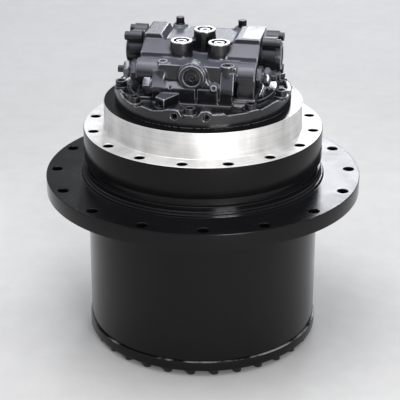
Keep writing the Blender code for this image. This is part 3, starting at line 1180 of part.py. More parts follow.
def rear_cover_bores():
    """Bores of the casting: shaft bearing, spool, ports, plugs, relief valves and screws."""
    pocket = cylinder(bore(SHAFT_BEARING_RADIUS + SEAT_GAP, MEDIUM_FACETS), REAR_COVER_BOTTOM - 5.0,
                      REAR_BEARING_POCKET_TOP, MEDIUM_FACETS, turn=math.radians(-90.0))
    cuts = [pocket, spool_cylinder(bore(SPOOL_RADIUS + SEAT_GAP, SMALL_FACETS), -CAP_SEAT_X - 5.0,
                                   CAP_SEAT_X + 5.0, SMALL_FACETS)]
    for side in (-1.0, 1.0):
        cuts.append(cylinder(bore(PORT_BORE_RADIUS, SMALL_FACETS), PORT_TOP - PORT_DEPTH, PORT_TOP + 5.0,
                             SMALL_FACETS, side * PORT_X, PORT_Y))
        cuts.append(cylinder(bore(BACK_STEM_RADIUS + SEAT_GAP, HOLE_FACETS), BACK_BOSS_TOP - 14.0,
                             BACK_BOSS_TOP + 5.0, HOLE_FACETS, side * BACK_PLUG_X, BACK_PLUG_Y))
        ends = sorted((side * (SHOULDER_OUTER - RELIEF_BORE_DEPTH), side * (SHOULDER_OUTER + 5.0)))
        cuts.append(gallery_cylinder(bore(RELIEF_BORE_RADIUS + SEAT_GAP, HOLE_FACETS), ends[0], ends[1],
                                     HOLE_FACETS))
    cuts.append(cylinder(bore(PORT_BORE_RADIUS, SMALL_FACETS), CENTRE_PORT_TOP - 18.0,
                         CENTRE_PORT_TOP + 5.0, SMALL_FACETS, 0.0, CENTRE_PORT_Y))
    front = along_front(cylinder(bore(PORT_BORE_RADIUS, SMALL_FACETS), -FRONT_BOSS_FRONT - 16.0,
                                 -FRONT_BOSS_FRONT + 5.0, SMALL_FACETS))
    cuts.append(shifted(front, FRONT_BOSS_X, 0.0, FRONT_BOSS_Z))
    for degrees in RIM_BOSS_ANGLES:
        cuts.append(rim_boss(degrees, RIM_BOSS_HOLE_RADIUS, REAR_COVER_RADIUS - RIM_BOSS_HOLE_DEPTH,
                             REAR_COVER_RADIUS + 5.0))
    return cuts


def socket_plug(radius, depth, facets=SMALL_FACETS):
    """A round plug with a hexagon socket, its top at zero."""
    body = cylinder(radius, -depth, 0.0, facets)
    socket = cylinder(radius * 0.6, -depth * 0.6, 5.0, 6)
    return drilled(body, socket)


def build_plugs():
    """Plugs of the work ports, the centre port and the front boss, and the two back plugs."""
    radius = PORT_BORE_RADIUS - SEAT_GAP
    for name, side in (("left", -1.0), ("right", 1.0)):
        plug = shifted(socket_plug(radius, PORT_DEPTH - 4.0), side * PORT_X, PORT_Y, PORT_TOP - 3.0)
        add_piece(f"{name}_port_plug", plug, "bolt_steel", "case")
        head = BACK_BOSS_TOP + SEAT_GAP
        stem = cylinder(BACK_STEM_RADIUS, BACK_BOSS_TOP - 13.0, head + 2.0, HOLE_FACETS)
        hexagon = cylinder(BACK_PLUG_RADIUS, head, BACK_PLUG_TOP, 6)
        add_piece(f"{name}_hex_plug", shifted(fused(hexagon, stem), side * BACK_PLUG_X, BACK_PLUG_Y),
                  "bolt_steel", "case")
    centre = shifted(socket_plug(radius, 14.0), 0.0, CENTRE_PORT_Y, CENTRE_PORT_TOP - 3.0)
    add_piece("centre_port_plug", centre, "bolt_steel", "case")
    front = along_front(socket_plug(radius, 13.0))
    add_piece("front_port_plug", shifted(front, FRONT_BOSS_X, FRONT_BOSS_FRONT + 2.0, FRONT_BOSS_Z),
              "bolt_steel", "case")


def build_spool():
    """Counterbalance spool with a land at each end and one in the middle."""
    half = SPOOL_LENGTH / 2.0
    tip = half + SPOOL_STUB_LENGTH
    waist = SPOOL_RADIUS * 0.6
    profile = [(0.0, -tip), (SPOOL_STUB_RADIUS, -tip), (SPOOL_STUB_RADIUS, -half), (SPOOL_RADIUS, -half),
               (SPOOL_RADIUS, -half * 0.5), (waist, -half * 0.45), (waist, -half * 0.22),
               (SPOOL_RADIUS, -half * 0.17), (SPOOL_RADIUS, half * 0.17), (waist, half * 0.22),
               (waist, half * 0.45), (SPOOL_RADIUS, half * 0.5), (SPOOL_RADIUS, half),
               (SPOOL_STUB_RADIUS, half), (SPOOL_STUB_RADIUS, tip), (0.0, tip)]
    spool = along_x(lathe(profile, SMALL_FACETS))
    add_piece("counterbalance_spool", shifted(spool, 0.0, SPOOL_Y, SPOOL_Z), "turned_steel", "spool")


def coil(radius, wire, start, end, turns):
    """A round-wire spring about Z as one closed solid with flat ends."""
    mesh = bmesh.new()
    steps = turns * HOLE_FACETS
    rings = []
    for i in range(steps + 1):
        angle = 2.0 * math.pi * i / HOLE_FACETS
        height = start + wire + (end - start - 2.0 * wire) * i / steps
        outward = Vector((math.cos(angle), math.sin(angle), 0.0))
        centre = outward * radius + Vector((0.0, 0.0, height))
        rings.append([mesh.verts.new(centre + outward * dx + Vector((0.0, 0.0, dz)))
                      for dx, dz in circle(wire, 4)])
    for first, second in zip(rings, rings[1:]):
        for i in range(4):
            j = (i + 1) % 4
            mesh.faces.new((first[i], first[j], second[j], second[i]))
    mesh.faces.new(rings[0])
    mesh.faces.new(rings[-1])
    return finish_faces(mesh)


def cap_outline():
    """Face of an end cap as (y, z): a round body with a lobe at each of its four screws."""
    reach = math.hypot(CAP_BOLT_Y, CAP_BOLT_Z)
    body, lobe = CAP_BODY_RADIUS, CAP_LOBE_RADIUS
    share = math.acos((reach ** 2 + body ** 2 - lobe ** 2) / (2.0 * reach * body))
    sweep = math.pi - math.acos((reach ** 2 + lobe ** 2 - body ** 2) / (2.0 * reach * lobe))
    directions = [math.atan2(z, y) % (2.0 * math.pi)
                  for y, z in ((CAP_BOLT_Y, CAP_BOLT_Z), (-CAP_BOLT_Y, CAP_BOLT_Z),
                               (-CAP_BOLT_Y, -CAP_BOLT_Z), (CAP_BOLT_Y, -CAP_BOLT_Z))]
    points = []
    for angle, following in zip(directions, directions[1:] + [directions[0] + 2.0 * math.pi]):
        for i in range(6):
            turn = angle + sweep * (i / 2.5 - 1.0)
            points.append((reach * math.cos(angle) + lobe * math.cos(turn),
                           reach * math.sin(angle) + lobe * math.sin(turn)))
        start, end = angle + share, following - share
        for i in (1, 2):
            turn = start + (end - start) * i / 3.0
            points.append((body * math.cos(turn), body * math.sin(turn)))
    return [(SPOOL_Y + y, SPOOL_Z + z) for y, z in points]


def build_end_caps():
    """End caps over the spool's springs, each with its four screws, and the springs."""
    inner = CAP_SEAT_X + SEAT_GAP
    for name, side in (("left", -1.0), ("right", 1.0)):
        ends = sorted((side * inner, side * CAP_FLANGE_X))
        plate = on_side(cap_outline(), ends[0], ends[1])
        ends = sorted((side * (CAP_FLANGE_X - 8.0), side * CAP_END_X))
        boss = spool_cylinder(CAP_BOSS_RADIUS, ends[0], ends[1], SMALL_FACETS)
        ends = sorted((side * (CAP_FLANGE_X - 2.0), side * (CAP_FLANGE_X + CAP_BOLT_HEAD_HEIGHT)))
        heads = [shifted(along_x(cylinder(CAP_BOLT_HEAD_RADIUS, ends[0], ends[1], HOLE_FACETS)), 0.0, y, z)
                 for y, z in cap_bolt_places()]
        ends = sorted((side * (inner - 5.0), side * CAP_BORE_END_X))
        hollow = spool_cylinder(bore(CAP_BORE_RADIUS, SMALL_FACETS), ends[0], ends[1], SMALL_FACETS)
        cap = drilled(fused(plate, boss, joined(heads)), hollow)
        add_piece(f"{name}_end_cap", cap, "casting_black", "case")
        spring = coil(SPRING_RADIUS, SPRING_WIRE, CAP_SEAT_X + SEAT_GAP, CAP_BORE_END_X - SEAT_GAP,
                      SPRING_TURNS)
        add_piece(f"{name}_spool_spring", shifted(along_x(spring, side), 0.0, SPOOL_Y, SPOOL_Z),
                  "turned_steel", "case")


def cap_bolt_places():
    """Places of an end cap's screws as (y, z)."""
    return [(SPOOL_Y + y, SPOOL_Z + z)
            for y in (-CAP_BOLT_Y, CAP_BOLT_Y) for z in (-CAP_BOLT_Z, CAP_BOLT_Z)]


def build_relief_valves():
    """Cartridge relief valves screwed into both ends of the gallery."""
    face = SHOULDER_OUTER + SEAT_GAP
    groove = face + RELIEF_HEX_LENGTH
    nut = groove + RELIEF_GROOVE_LENGTH
    stub = nut + RELIEF_NUT_LENGTH
    for name, side in (("left", -1.0), ("right", 1.0)):
        cartridge = cylinder(RELIEF_BORE_RADIUS, SHOULDER_OUTER - RELIEF_BORE_DEPTH + 2.0, face + 1.0,
                             HOLE_FACETS)
        valve = fused(cylinder(RELIEF_HEX_RADIUS, face, groove, 6, turn=math.pi / 6.0), cartridge,
                      cylinder(RELIEF_GROOVE_RADIUS, groove - 2.0, nut + 2.0, BOLT_FACETS),
                      cylinder(RELIEF_NUT_RADIUS, nut, stub, 6, turn=0.3),
                      cylinder(RELIEF_STUB_RADIUS, stub - 2.0, stub + RELIEF_STUB_LENGTH, BOLT_FACETS))
        valve = shifted(along_x(valve, side), 0.0, GALLERY_Y, GALLERY_Z)
        add_piece(f"{name}_relief_valve", valve, "turned_steel", "case")


def build_bodies():
    """One empty for each body, on its joint axis."""
    add_body("hub")
    add_body("case", "hub")
    add_body("first_carrier", "case")
    add_body("motor_shaft", "case")
    add_body("bearing_rollers", "case")
    add_body("swash_plate", "case", (0.0, 0.0, SWASH_AXIS_Z))
    add_body("speed_change_piston", "case", (0.0, SPEED_PISTON_Y, CAVITY_FLOOR))
    add_body("brake_piston", "case")
    add_body("spool", "case", (0.0, SPOOL_Y, SPOOL_Z))
    for stage, first, parent in (("first", FIRST_PLANET_ANGLE, "first_carrier"),
                                 ("second", SECOND_PLANET_ANGLE, "case")):
        for number, (x, y, _) in enumerate(planet_places(first), 1):
            add_body(f"{stage}_planet_{number}", parent, (x, y, 0.0))


def main():
    """Build every piece of the drive."""
    clear_scene()
    build_bodies()
    build_hub_drum()
    build_end_cover()
    build_cover_fittings()
    build_stages()
    build_suns()
    build_main_bearings()
    build_floating_seal()
    build_case()
    build_shaft()
    build_swash()
    build_cylinder_block()
    build_brake()
    build_rear_cover()
    build_plugs()
    build_spool()
    build_end_caps()
    build_relief_valves()


main()
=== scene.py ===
"""Excavator final drive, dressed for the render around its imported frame.

Forms are in millimetres until a mesh is made, finishes and lamps in metres. Z is the drive's
axis, the floor is at zero and the front of the valve block looks along -Y.
"""

import json
import logging
import math
from dataclasses import dataclass, field
from enum import Enum
from functools import partialmethod
from typing import Callable, Sequence

import bmesh
import bpy
import numpy as np
from mathutils import Matrix, Vector


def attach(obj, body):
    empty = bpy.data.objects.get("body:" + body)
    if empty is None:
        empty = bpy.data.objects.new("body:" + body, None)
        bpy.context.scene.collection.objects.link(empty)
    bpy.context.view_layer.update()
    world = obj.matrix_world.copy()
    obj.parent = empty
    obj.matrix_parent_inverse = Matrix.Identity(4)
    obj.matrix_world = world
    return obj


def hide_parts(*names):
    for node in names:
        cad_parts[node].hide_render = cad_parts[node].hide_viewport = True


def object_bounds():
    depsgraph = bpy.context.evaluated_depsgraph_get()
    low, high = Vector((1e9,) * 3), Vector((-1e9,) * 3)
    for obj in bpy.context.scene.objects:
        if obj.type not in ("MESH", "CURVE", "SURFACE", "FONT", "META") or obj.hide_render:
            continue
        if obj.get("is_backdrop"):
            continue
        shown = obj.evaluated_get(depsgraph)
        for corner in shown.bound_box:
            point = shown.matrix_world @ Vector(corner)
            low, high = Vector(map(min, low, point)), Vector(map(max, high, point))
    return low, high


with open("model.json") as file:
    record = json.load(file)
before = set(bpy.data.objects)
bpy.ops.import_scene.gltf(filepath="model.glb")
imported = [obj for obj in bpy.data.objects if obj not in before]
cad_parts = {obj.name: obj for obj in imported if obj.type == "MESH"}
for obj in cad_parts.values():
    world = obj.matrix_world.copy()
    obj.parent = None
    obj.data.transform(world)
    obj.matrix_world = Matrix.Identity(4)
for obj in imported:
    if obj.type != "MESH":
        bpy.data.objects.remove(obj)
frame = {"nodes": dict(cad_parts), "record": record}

LOG = logging.getLogger("final_drive")
MILLIMETRE = 0.001
WELD = 0.02 * MILLIMETRE
HUB_TURN = math.radians(10.3)
FRONT = math.radians(-90.0)
FLANGE_HOLES = 16
UP, DOWN, FORWARD = (0.0, 0.0, 1.0), (0.0, 0.0, -1.0), (0.0, -1.0, 0.0)
SIDES = (("left", -1.0), ("right", 1.0))
Array = np.ndarray
Axes = tuple[Array, Array, Array]


class Body(Enum):
    """CAD bodies that the new pieces ride on."""

    HUB = "hub"
    CASE = "case"


class Slot(Enum):
    """Material slots of the record."""

    GLOSS = "gloss_black"
    SATIN = "satin_black"
    CASTING = "casting_black"
    TURNED = "turned_steel"
    GEAR = "gear_steel"
    BOLT = "bolt_steel"
    BRONZE = "bronze"
    RUBBER = "seal_rubber"


# Surfaces on grids

def polar(radius: Array, angle: Array, height: Array) -> Array:
    """Points from cylindrical coordinates: (r cos a, r sin a, z)."""
    radius, angle, height = np.broadcast_arrays(radius, angle, height)
    return np.stack([radius * np.cos(angle), radius * np.sin(angle), height], axis=-1)


def eased(points: Sequence[Sequence[float]], steps: int = 4) -> Array:
    """Round the corners of an outline.

    Each corner P becomes the parabola (1-t)^2 A + 2t(1-t) P + t^2 B between the points A and B
    that lie the corner's radius away on its two sides.

    Args:
        points: Rows of coordinates with the corner's radius last; zero keeps a corner sharp.
        steps: Points on each rounded corner.

    Returns:
        The outline's coordinates without the radius column.
    """
    rows = np.asarray(points, float)
    corner, radius = rows[:, :-1], rows[:, -1:]
    before, after = np.roll(corner, 1, 0) - corner, np.roll(corner, -1, 0) - corner
    reach = [np.clip(radius / np.maximum(np.linalg.norm(side, axis=1, keepdims=True), 1e-9), 0.0, 0.49)
             for side in (before, after)]
    start, end = corner + before * reach[0], corner + after * reach[1]
    t = np.linspace(0.0, 1.0, steps)[None, :, None]
    curve = (1 - t) ** 2 * start[:, None] + 2 * t * (1 - t) * corner[:, None] + t ** 2 * end[:, None]
    flat = curve.reshape(-1, corner.shape[1])
    keep = np.r_[True, np.linalg.norm(np.diff(flat, axis=0), axis=1) > 1e-4]
    return flat[keep]


def hexagon_factor(angle: Array) -> Array:
    """Radius of a hexagon over its inner circle's radius: 1 / cos of the angle from the nearest flat."""
    return 1.0 / np.cos((angle + math.pi / 6) % (math.pi / 3) - math.pi / 6)


def turning(profile: Array, facets: int, turn: float = 0.0) -> Array:
    """Turn a profile about Z, round or hexagonal.

    A station's radius at angle a is r (1 - w + w h(a)), where h is the hexagon's radius and the
    weight w is the profile's third column.

    Args:
        profile: Stations as (radius, height) or (radius, height, hexagon weight).
        facets: Columns round the axis.
        turn: Angle of the first column in radians.

    Returns:
        A grid of points, one row per station.
    """
    angle = np.arange(facets) * 2.0 * math.pi / facets
    weight = profile[:, 2:3] if profile.shape[1] > 2 else np.zeros((len(profile), 1))
    radius = profile[:, :1] * (1.0 - weight + weight * hexagon_factor(angle)[None, :])
    return polar(radius, angle[None, :] + turn, profile[:, 1:2])


def rounded_rectangle(half_width: Array, half_height: Array, corner: Array) -> Array:
    """Outlines of rectangles with round corners: the corner's centre plus r (cos a, sin a).

    Args:
        half_width: Half the width of each outline.
        half_height: Half the height of each outline.
        corner: Corner radius of each outline.

    Returns:
        Points as (outline, step, 2).
    """
    quarter = np.linspace(0.0, 0.5 * math.pi, 5)
    angle = (np.arange(4)[:, None] * 0.5 * math.pi + quarter).ravel()
    sign_x, sign_y = (np.repeat(signs, len(quarter)) for signs in ((1, -1, -1, 1), (1, 1, -1, -1)))
    width, height, radius = (np.atleast_1d(a)[:, None] for a in (half_width, half_height, corner))
    return np.stack([sign_x * (width - radius) + radius * np.cos(angle),
                     sign_y * (height - radius) + radius * np.sin(angle)], axis=-1)


def lobed(body: float, lobe: float, places: Sequence[tuple[float, float]]) -> Array:
    """Outline of a round body with round lobes, seen from the middle.

    A ray d leaves the lobe round c at d.c + sqrt((d.c)^2 - |c|^2 + r^2); the outline takes the
    farthest of these and the body's own radius, eased over its neighbours.

    Args:
        body: The body's radius.
        lobe: Radius of each lobe.
        places: Centres of the lobes.

    Returns:
        Points as (step, 2).
    """
    count = 144
    angle = np.arange(count) * 2.0 * math.pi / count
    ray = np.stack([np.cos(angle), np.sin(angle)], -1)
    far = np.full(count, body)
    for centre in np.asarray(places):
        along = ray @ centre
        room = along * along - centre @ centre + lobe * lobe
        leave = along + np.sqrt(np.maximum(room, 0.0))
        far = np.maximum(far, np.where((room > 0.0) & (along > 0.0), leave, 0.0))
    for _ in range(2):
        far = (np.roll(far, 1) + 2.0 * far + np.roll(far, -1)) / 4.0
    return far[:, None] * ray


def punched_sector(face: tuple[float, float, float], circle: float, wall: Sequence[tuple[float, float]],
                   back: tuple[float, float, float] | None = None) -> Array:
    """The sector round the hole on +X in a flat ring with a circle of holes.

    The outermost row walks round the sector's border in polar coordinates. The next rows run to
    the hole's rim in a straight line, and the wall's rows follow the hole's own circles.

    Args:
        face: Inner radius, outer radius and height of the ring.
        circle: Radius of the circle that the holes lie on.
        wall: Radius and height of each ring of the hole's wall, from its rim on.
        back: Inner radius, outer radius and height of the far face of a through hole.

    Returns:
        A grid of points.
    """
    half, arc, side = math.pi / FLANGE_HOLES, 12, 5
    sweep, rise = np.linspace(-half, half, arc, endpoint=False), np.linspace(0.0, 1.0, side, endpoint=False)
    spread = np.concatenate([sweep, np.full(side, half), -sweep, np.full(side, -half)])
    share = np.concatenate([np.zeros(arc), rise, np.ones(arc), 1.0 - rise])

    def border(limits: tuple[float, float, float]) -> Array:
        """The sector's border on one face."""
        return polar(limits[0] + (limits[1] - limits[0]) * share, spread, limits[2])

    edge = border(face)
    angle = np.arctan2(edge[:, 1], edge[:, 0] - circle)
    rings = [polar(radius, angle, height) + (circle, 0.0, 0.0) for radius, height in wall]
    rows = [edge, 0.5 * (edge + rings[0])] + rings
    if back is not None:
        rows += [0.5 * (border(back) + rings[-1]), border(back)]
    return np.stack(rows)


def turns(first: float) -> list[Matrix]:
    """Turns about Z to each hole of a flange, from the first hole's angle."""
    return [Matrix.Rotation(first + n * 2.0 * math.pi / FLANGE_HOLES, 4, "Z") for n in range(FLANGE_HOLES)]


def placed(grid: Array, matrix: Matrix) -> Array:
    """Carry a grid of points by a matrix."""
    values = np.array(matrix)
    return grid @ values[:3, :3].T + values[:3, 3]


def towards(x: float, y: float, z: float, direction: Sequence[float], turn: float = 0.0) -> Matrix:
    """Matrix that stands a form built on +Z at a place and points it along a direction."""
    lean = Vector(UP).rotation_difference(Vector(direction)).to_matrix().to_4x4()
    return Matrix.Translation((x, y, z)) @ lean @ Matrix.Rotation(turn, 4, "Z")


class Form:
    """Points and faces of one piece, in millimetres, gathered surface by surface."""

    def __init__(self) -> None:
        """Start with no surface."""
        self.points: list[Array] = []
        self.faces: list[Array] = []
        self.total = 0

    def add(self, points: Array, faces: Array) -> "Form":
        """Add loose points and the faces between them."""
        self.points.append(points.reshape(-1, 3))
        self.faces.append(faces + self.total)
        self.total += len(self.points[-1])
        return self

    def grid(self, grid: Array, close_rows: bool = False) -> "Form":
        """Add the quads of one grid that is closed round its columns.

        Args:
            grid: Points as (row, column, 3).
            close_rows: Join the last row to the first as well.

        Returns:
            The form itself.
        """
        index = np.arange(grid.shape[0] * grid.shape[1]).reshape(grid.shape[:2])
        index = np.hstack([index, index[:, :1]])
        if close_rows:
            index = np.vstack([index, index[:1]])
        quads = np.stack([index[:-1, :-1], index[:-1, 1:], index[1:, 1:], index[1:, :-1]], axis=-1)
        return self.add(grid, quads.reshape(-1, 4))

    def moved(self, matrix: Matrix) -> "Form":
        """Carry all points so far by a matrix."""
        self.points = [placed(part, matrix) for part in self.points]
        return self

    def copies(self, grid: Array, spots: Sequence[Matrix]) -> "Form":
        """Add one closed grid at each of several places."""
        for spot in spots:
            self.grid(placed(grid, spot))
        return self

    def piece(self, name: str, slot: Slot, finish: bpy.types.Material, stands_for: Sequence[str] = (),
              body: Body = Body.CASE, sharp: float = 32.0) -> None:
        """Weld the surfaces into one object and hang it on its body.

        Args:
            name: The piece's name.
            slot: Material slot of the record; not used.
            finish: Its material.
            stands_for: CAD nodes that it replaces.
            body: CAD body that it rides on.
            sharp: Edges steeper than this angle in degrees stay sharp.
        """
        mesh = bpy.data.meshes.new(name)
        mesh.from_pydata(np.concatenate(self.points) * MILLIMETRE, [], np.concatenate(self.faces).tolist())
        work = bmesh.new()
        work.from_mesh(mesh)
        bmesh.ops.remove_doubles(work, verts=work.verts[:], dist=WELD)
        bmesh.ops.recalc_face_normals(work, faces=work.faces[:])
        work.to_mesh(mesh)
        work.free()
        mesh.shade_smooth()
        mesh.set_sharp_from_angle(angle=math.radians(sharp))
        mesh.materials.append(finish)
        item = bpy.data.objects.new(name, mesh)
        bpy.context.scene.collection.objects.link(item)
        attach(item, body.value)
        if stands_for:
            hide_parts(*stands_for)
        LOG.info("%s: %d points on %s", name, len(mesh.vertices), body.value)


# Cast forms as distance fields

def length(*parts: Array) -> Array:
    """Length of a vector from its parts."""
    return np.sqrt(sum(part * part for part in parts))


def merged(first: Array, second: Array, fillet: float) -> Array:
    """Union of two distances with a fillet: min(a, b) - h^2 k / 4 with h = max(1 - |a - b| / k, 0)."""
    near = np.maximum(1.0 - np.abs(first - second) / fillet, 0.0)
    return np.minimum(first, second) - near * near * fillet * 0.25


def common(first: Array, second: Array, fillet: float) -> Array:
    """Intersection of two distances with a rounded edge: the union of the complements, turned round."""
    return -merged(-first, -second, fillet)


def without(first: Array, second: Array, fillet: float) -> Array:
    """Difference of two distances with a rounded rim."""
    return common(first, -second, fillet)


def united(body: Array, *forms: tuple[Array, float]) -> Array:
    """Union of a body with (form, fillet) pairs, one after the other."""
    for form, fillet in forms:
        body = merged(body, form, fillet)
    return body


class Space:
    """Places in the casting, seen along different axes: two coordinates across, then the one along."""

    def __init__(self, x: Array, y: Array, z: Array) -> None:
        """Take the coordinates and lay out the axes."""
        side = np.abs(x)
        self.up, self.pair = (x, y, z), (side, y, z)
        self.front, self.across, self.side = (x, z, -y), (y, z, x), (y, z, side)

    def radial(self, degrees: float, x: float = 0.0, y: float = 0.0) -> Axes:
        """Axes of a level direction from a place: along is x cos a + y sin a, across y cos a - x sin a."""
        x, y, z = self.up[0] - x, self.up[1] - y, self.up[2]
        cos, sin = math.cos(math.radians(degrees)), math.sin(math.radians(degrees))
        return y * cos - x * sin, z, x * cos + y * sin


def slab(axes: Axes, low: Sequence[float], high: Sequence[float], edge: float) -> Array:
    """Distance to a block with round edges: the length of the outside part of |p - c| - (h - r), less r."""
    parts = [np.abs(p - 0.5 * (a + b)) - 0.5 * (b - a) + edge for p, a, b in zip(axes, low, high)]
    outside = length(*(np.maximum(part, 0.0) for part in parts))
    inside = np.minimum(np.maximum(np.maximum(parts[0], parts[1]), parts[2]), 0.0)
    return outside + inside - edge


def capped(side: Array, along: Array, low: float, high: float, edge: float) -> Array:
    """Distance to a form with round edges between two heights, from its side's distance plus the edge."""
    cap = np.abs(along - 0.5 * (low + high)) - 0.5 * (high - low) + edge
    outside = length(np.maximum(side, 0.0), np.maximum(cap, 0.0))
    return outside + np.minimum(np.maximum(side, cap), 0.0) - edge


def disc(axes: Axes, centre: Sequence[float], radius: float, low: float, high: float, edge: float,
         taper: float = 0.0) -> Array:
    """Distance to a cylinder with round edges, whose radius shrinks by the taper along its axis.

    Of the centre, only the first two values count.
    """
    across = length(axes[0] - centre[0], axes[1] - centre[1])
    return capped(across - radius + taper * (axes[2] - low) + edge, axes[2], low, high, edge)


def prism(axes: Axes, outline: Sequence[Sequence[float]], low: float, high: float, edge: float) -> Array:
    """Distance to a closed outline raised along the axes, with round edges.

    The outline's own distance is that of its nearest edge, negative inside.
    """
    y, z, along = axes
    corners = np.asarray(outline, float)
    best = np.full(np.broadcast_shapes(y.shape, z.shape), 1e9)
    inside = np.zeros(best.shape, bool)
    for (ay, az), (by, bz) in zip(corners, np.roll(corners, -1, 0)):
        ey, ez = by - ay, bz - az
        share = np.clip(((y - ay) * ey + (z - az) * ez) / (ey * ey + ez * ez), 0.0, 1.0)
        best = np.minimum(best, length(y - ay - share * ey, z - az - share * ez))
        inside ^= ((az > z) != (bz > z)) & (y < ay + (z - az) * ey / (ez if abs(ez) > 1e-9 else 1e-9))
    return capped(np.where(inside, -best, best) + edge, along, low, high, edge)


def spaced(*runs: tuple[float, float]) -> Array:
    """Places along an axis from (start, step) runs, each up to the next run's start."""
    return np.concatenate([np.linspace(a, b, max(int((b - a) / step), 1), endpoint=False)
                           for (a, step), (b, _) in zip(runs, runs[1:])] + [[runs[-1][0]]])


def net(distance: Callable[[Array, Array, Array], Array], axes: Axes, reach: float) -> tuple[Array, Array]:
    """Skin of a distance field.

    Each grid cell that the surface passes through gets one point, at the mean of the places where
    the field changes sign on the cell's edges. Each grid edge with a change of sign gets the quad
    of its four cells. The points are then carried along the field's slope onto the surface.

    Args:
        distance: Signed distance as a function of x, y and z.
        axes: Grid places along x, y and z.
        reach: How far a point may be carried at a time.

    Returns:
        Points and quads.
    """
    values = distance(axes[0][:, None, None], axes[1][None, :, None], axes[2][None, None, :])
    values = np.broadcast_to(values, tuple(len(a) for a in axes)).astype(np.float32)
    negative = values < 0.0
    shape = tuple(n - 1 for n in values.shape)
    corners = [(i, j, k) for i in (0, 1) for j in (0, 1) for k in (0, 1)]
    window = lambda data, c: data[c[0]:c[0] + shape[0], c[1]:c[1] + shape[1], c[2]:c[2] + shape[2]]
    filled = sum(window(negative, c).astype(np.int8) for c in corners)
    cells = np.argwhere((filled > 0) & (filled < 8))
    index = np.full(shape, -1)
    index[tuple(cells.T)] = np.arange(len(cells))
    place, hits = np.zeros((len(cells), 3)), np.zeros((len(cells), 1))
    for corner in corners:
        for axis in range(3):
            if corner[axis]:
                continue
            other = tuple(v + (n == axis) for n, v in enumerate(corner))
            a = values[tuple((cells + corner).T)]
            b = values[tuple((cells + other).T)]
            cross = ((a < 0.0) != (b < 0.0)).astype(float)[:, None]
            share = (a / np.where(a == b, 1.0, a - b))[:, None]
            place += cross * (np.array(corner) + share * (np.arange(3) == axis))
            hits += cross
    points = np.stack([np.interp(spot, np.arange(len(axis)), axis)
                       for spot, axis in zip((cells + place / hits).T, axes)], -1)
    quads = []
    for axis in range(3):
        u, v = (axis + 1) % 3, (axis + 2) % 3
        first = np.take(negative, np.arange(values.shape[axis] - 1), axis)
        second = np.take(negative, np.arange(1, values.shape[axis]), axis)
        edges = np.argwhere(first != second)
        for n in (u, v):
            edges = edges[(edges[:, n] > 0) & (edges[:, n] < shape[n])]
        ring = []
        for du, dv in ((1, 1), (0, 1), (0, 0), (1, 0)):
            cell = edges.copy()
            cell[:, u] -= du
            cell[:, v] -= dv
            ring.append(index[tuple(cell.T)])
        flip = first[tuple(edges.T)]
        ring = np.stack(ring, -1)
        quads.append(np.where(flip[:, None], ring, ring[:, ::-1]))
    probe = 0.2
    for _ in range(3):
        here = distance(*points.T)
        slope = np.stack([(distance(*(points + probe * (np.arange(3) == n)).T) - here) / probe
                          for n in range(3)], -1)
        pull = here[:, None] * slope / np.maximum((slope ** 2).sum(1, keepdims=True), 0.2)
        points = points - np.clip(pull, -reach, reach)
    return points, np.concatenate(quads)


# Finishes

class Wire:
    """A value in a node tree that takes part in Python arithmetic."""

    def __init__(self, tree: "Tree", socket: bpy.types.NodeSocket) -> None:
        """Wrap a socket of a tree."""
        self.tree, self.socket = tree, socket

    def math(self, operation: str, *values: "Wire | float") -> "Wire":
        """Add a Math node that takes this value first."""
        return self.tree.value("ShaderNodeMath", {"operation": operation}, dict(enumerate((self, *values))))

    def reflected(self, operation: str, other: float) -> "Wire":
        """Add a Math node that takes this value second."""
        return self.tree.value("ShaderNodeMath", {"operation": operation}, {0: other, 1: self})

    __add__, __radd__ = partialmethod(math, "ADD"), partialmethod(reflected, "ADD")
    __sub__, __rsub__ = partialmethod(math, "SUBTRACT"), partialmethod(reflected, "SUBTRACT")
    __mul__, __rmul__ = partialmethod(math, "MULTIPLY"), partialmethod(reflected, "MULTIPLY")

    def step(self, low: float, high: float) -> "Wire":
        """Rise smoothly from 0 at low to 1 at high."""
        return self.tree.value("ShaderNodeMapRange", {"interpolation_type": "SMOOTHSTEP"}, {
            "Value": self, "From Min": low, "From Max": high})


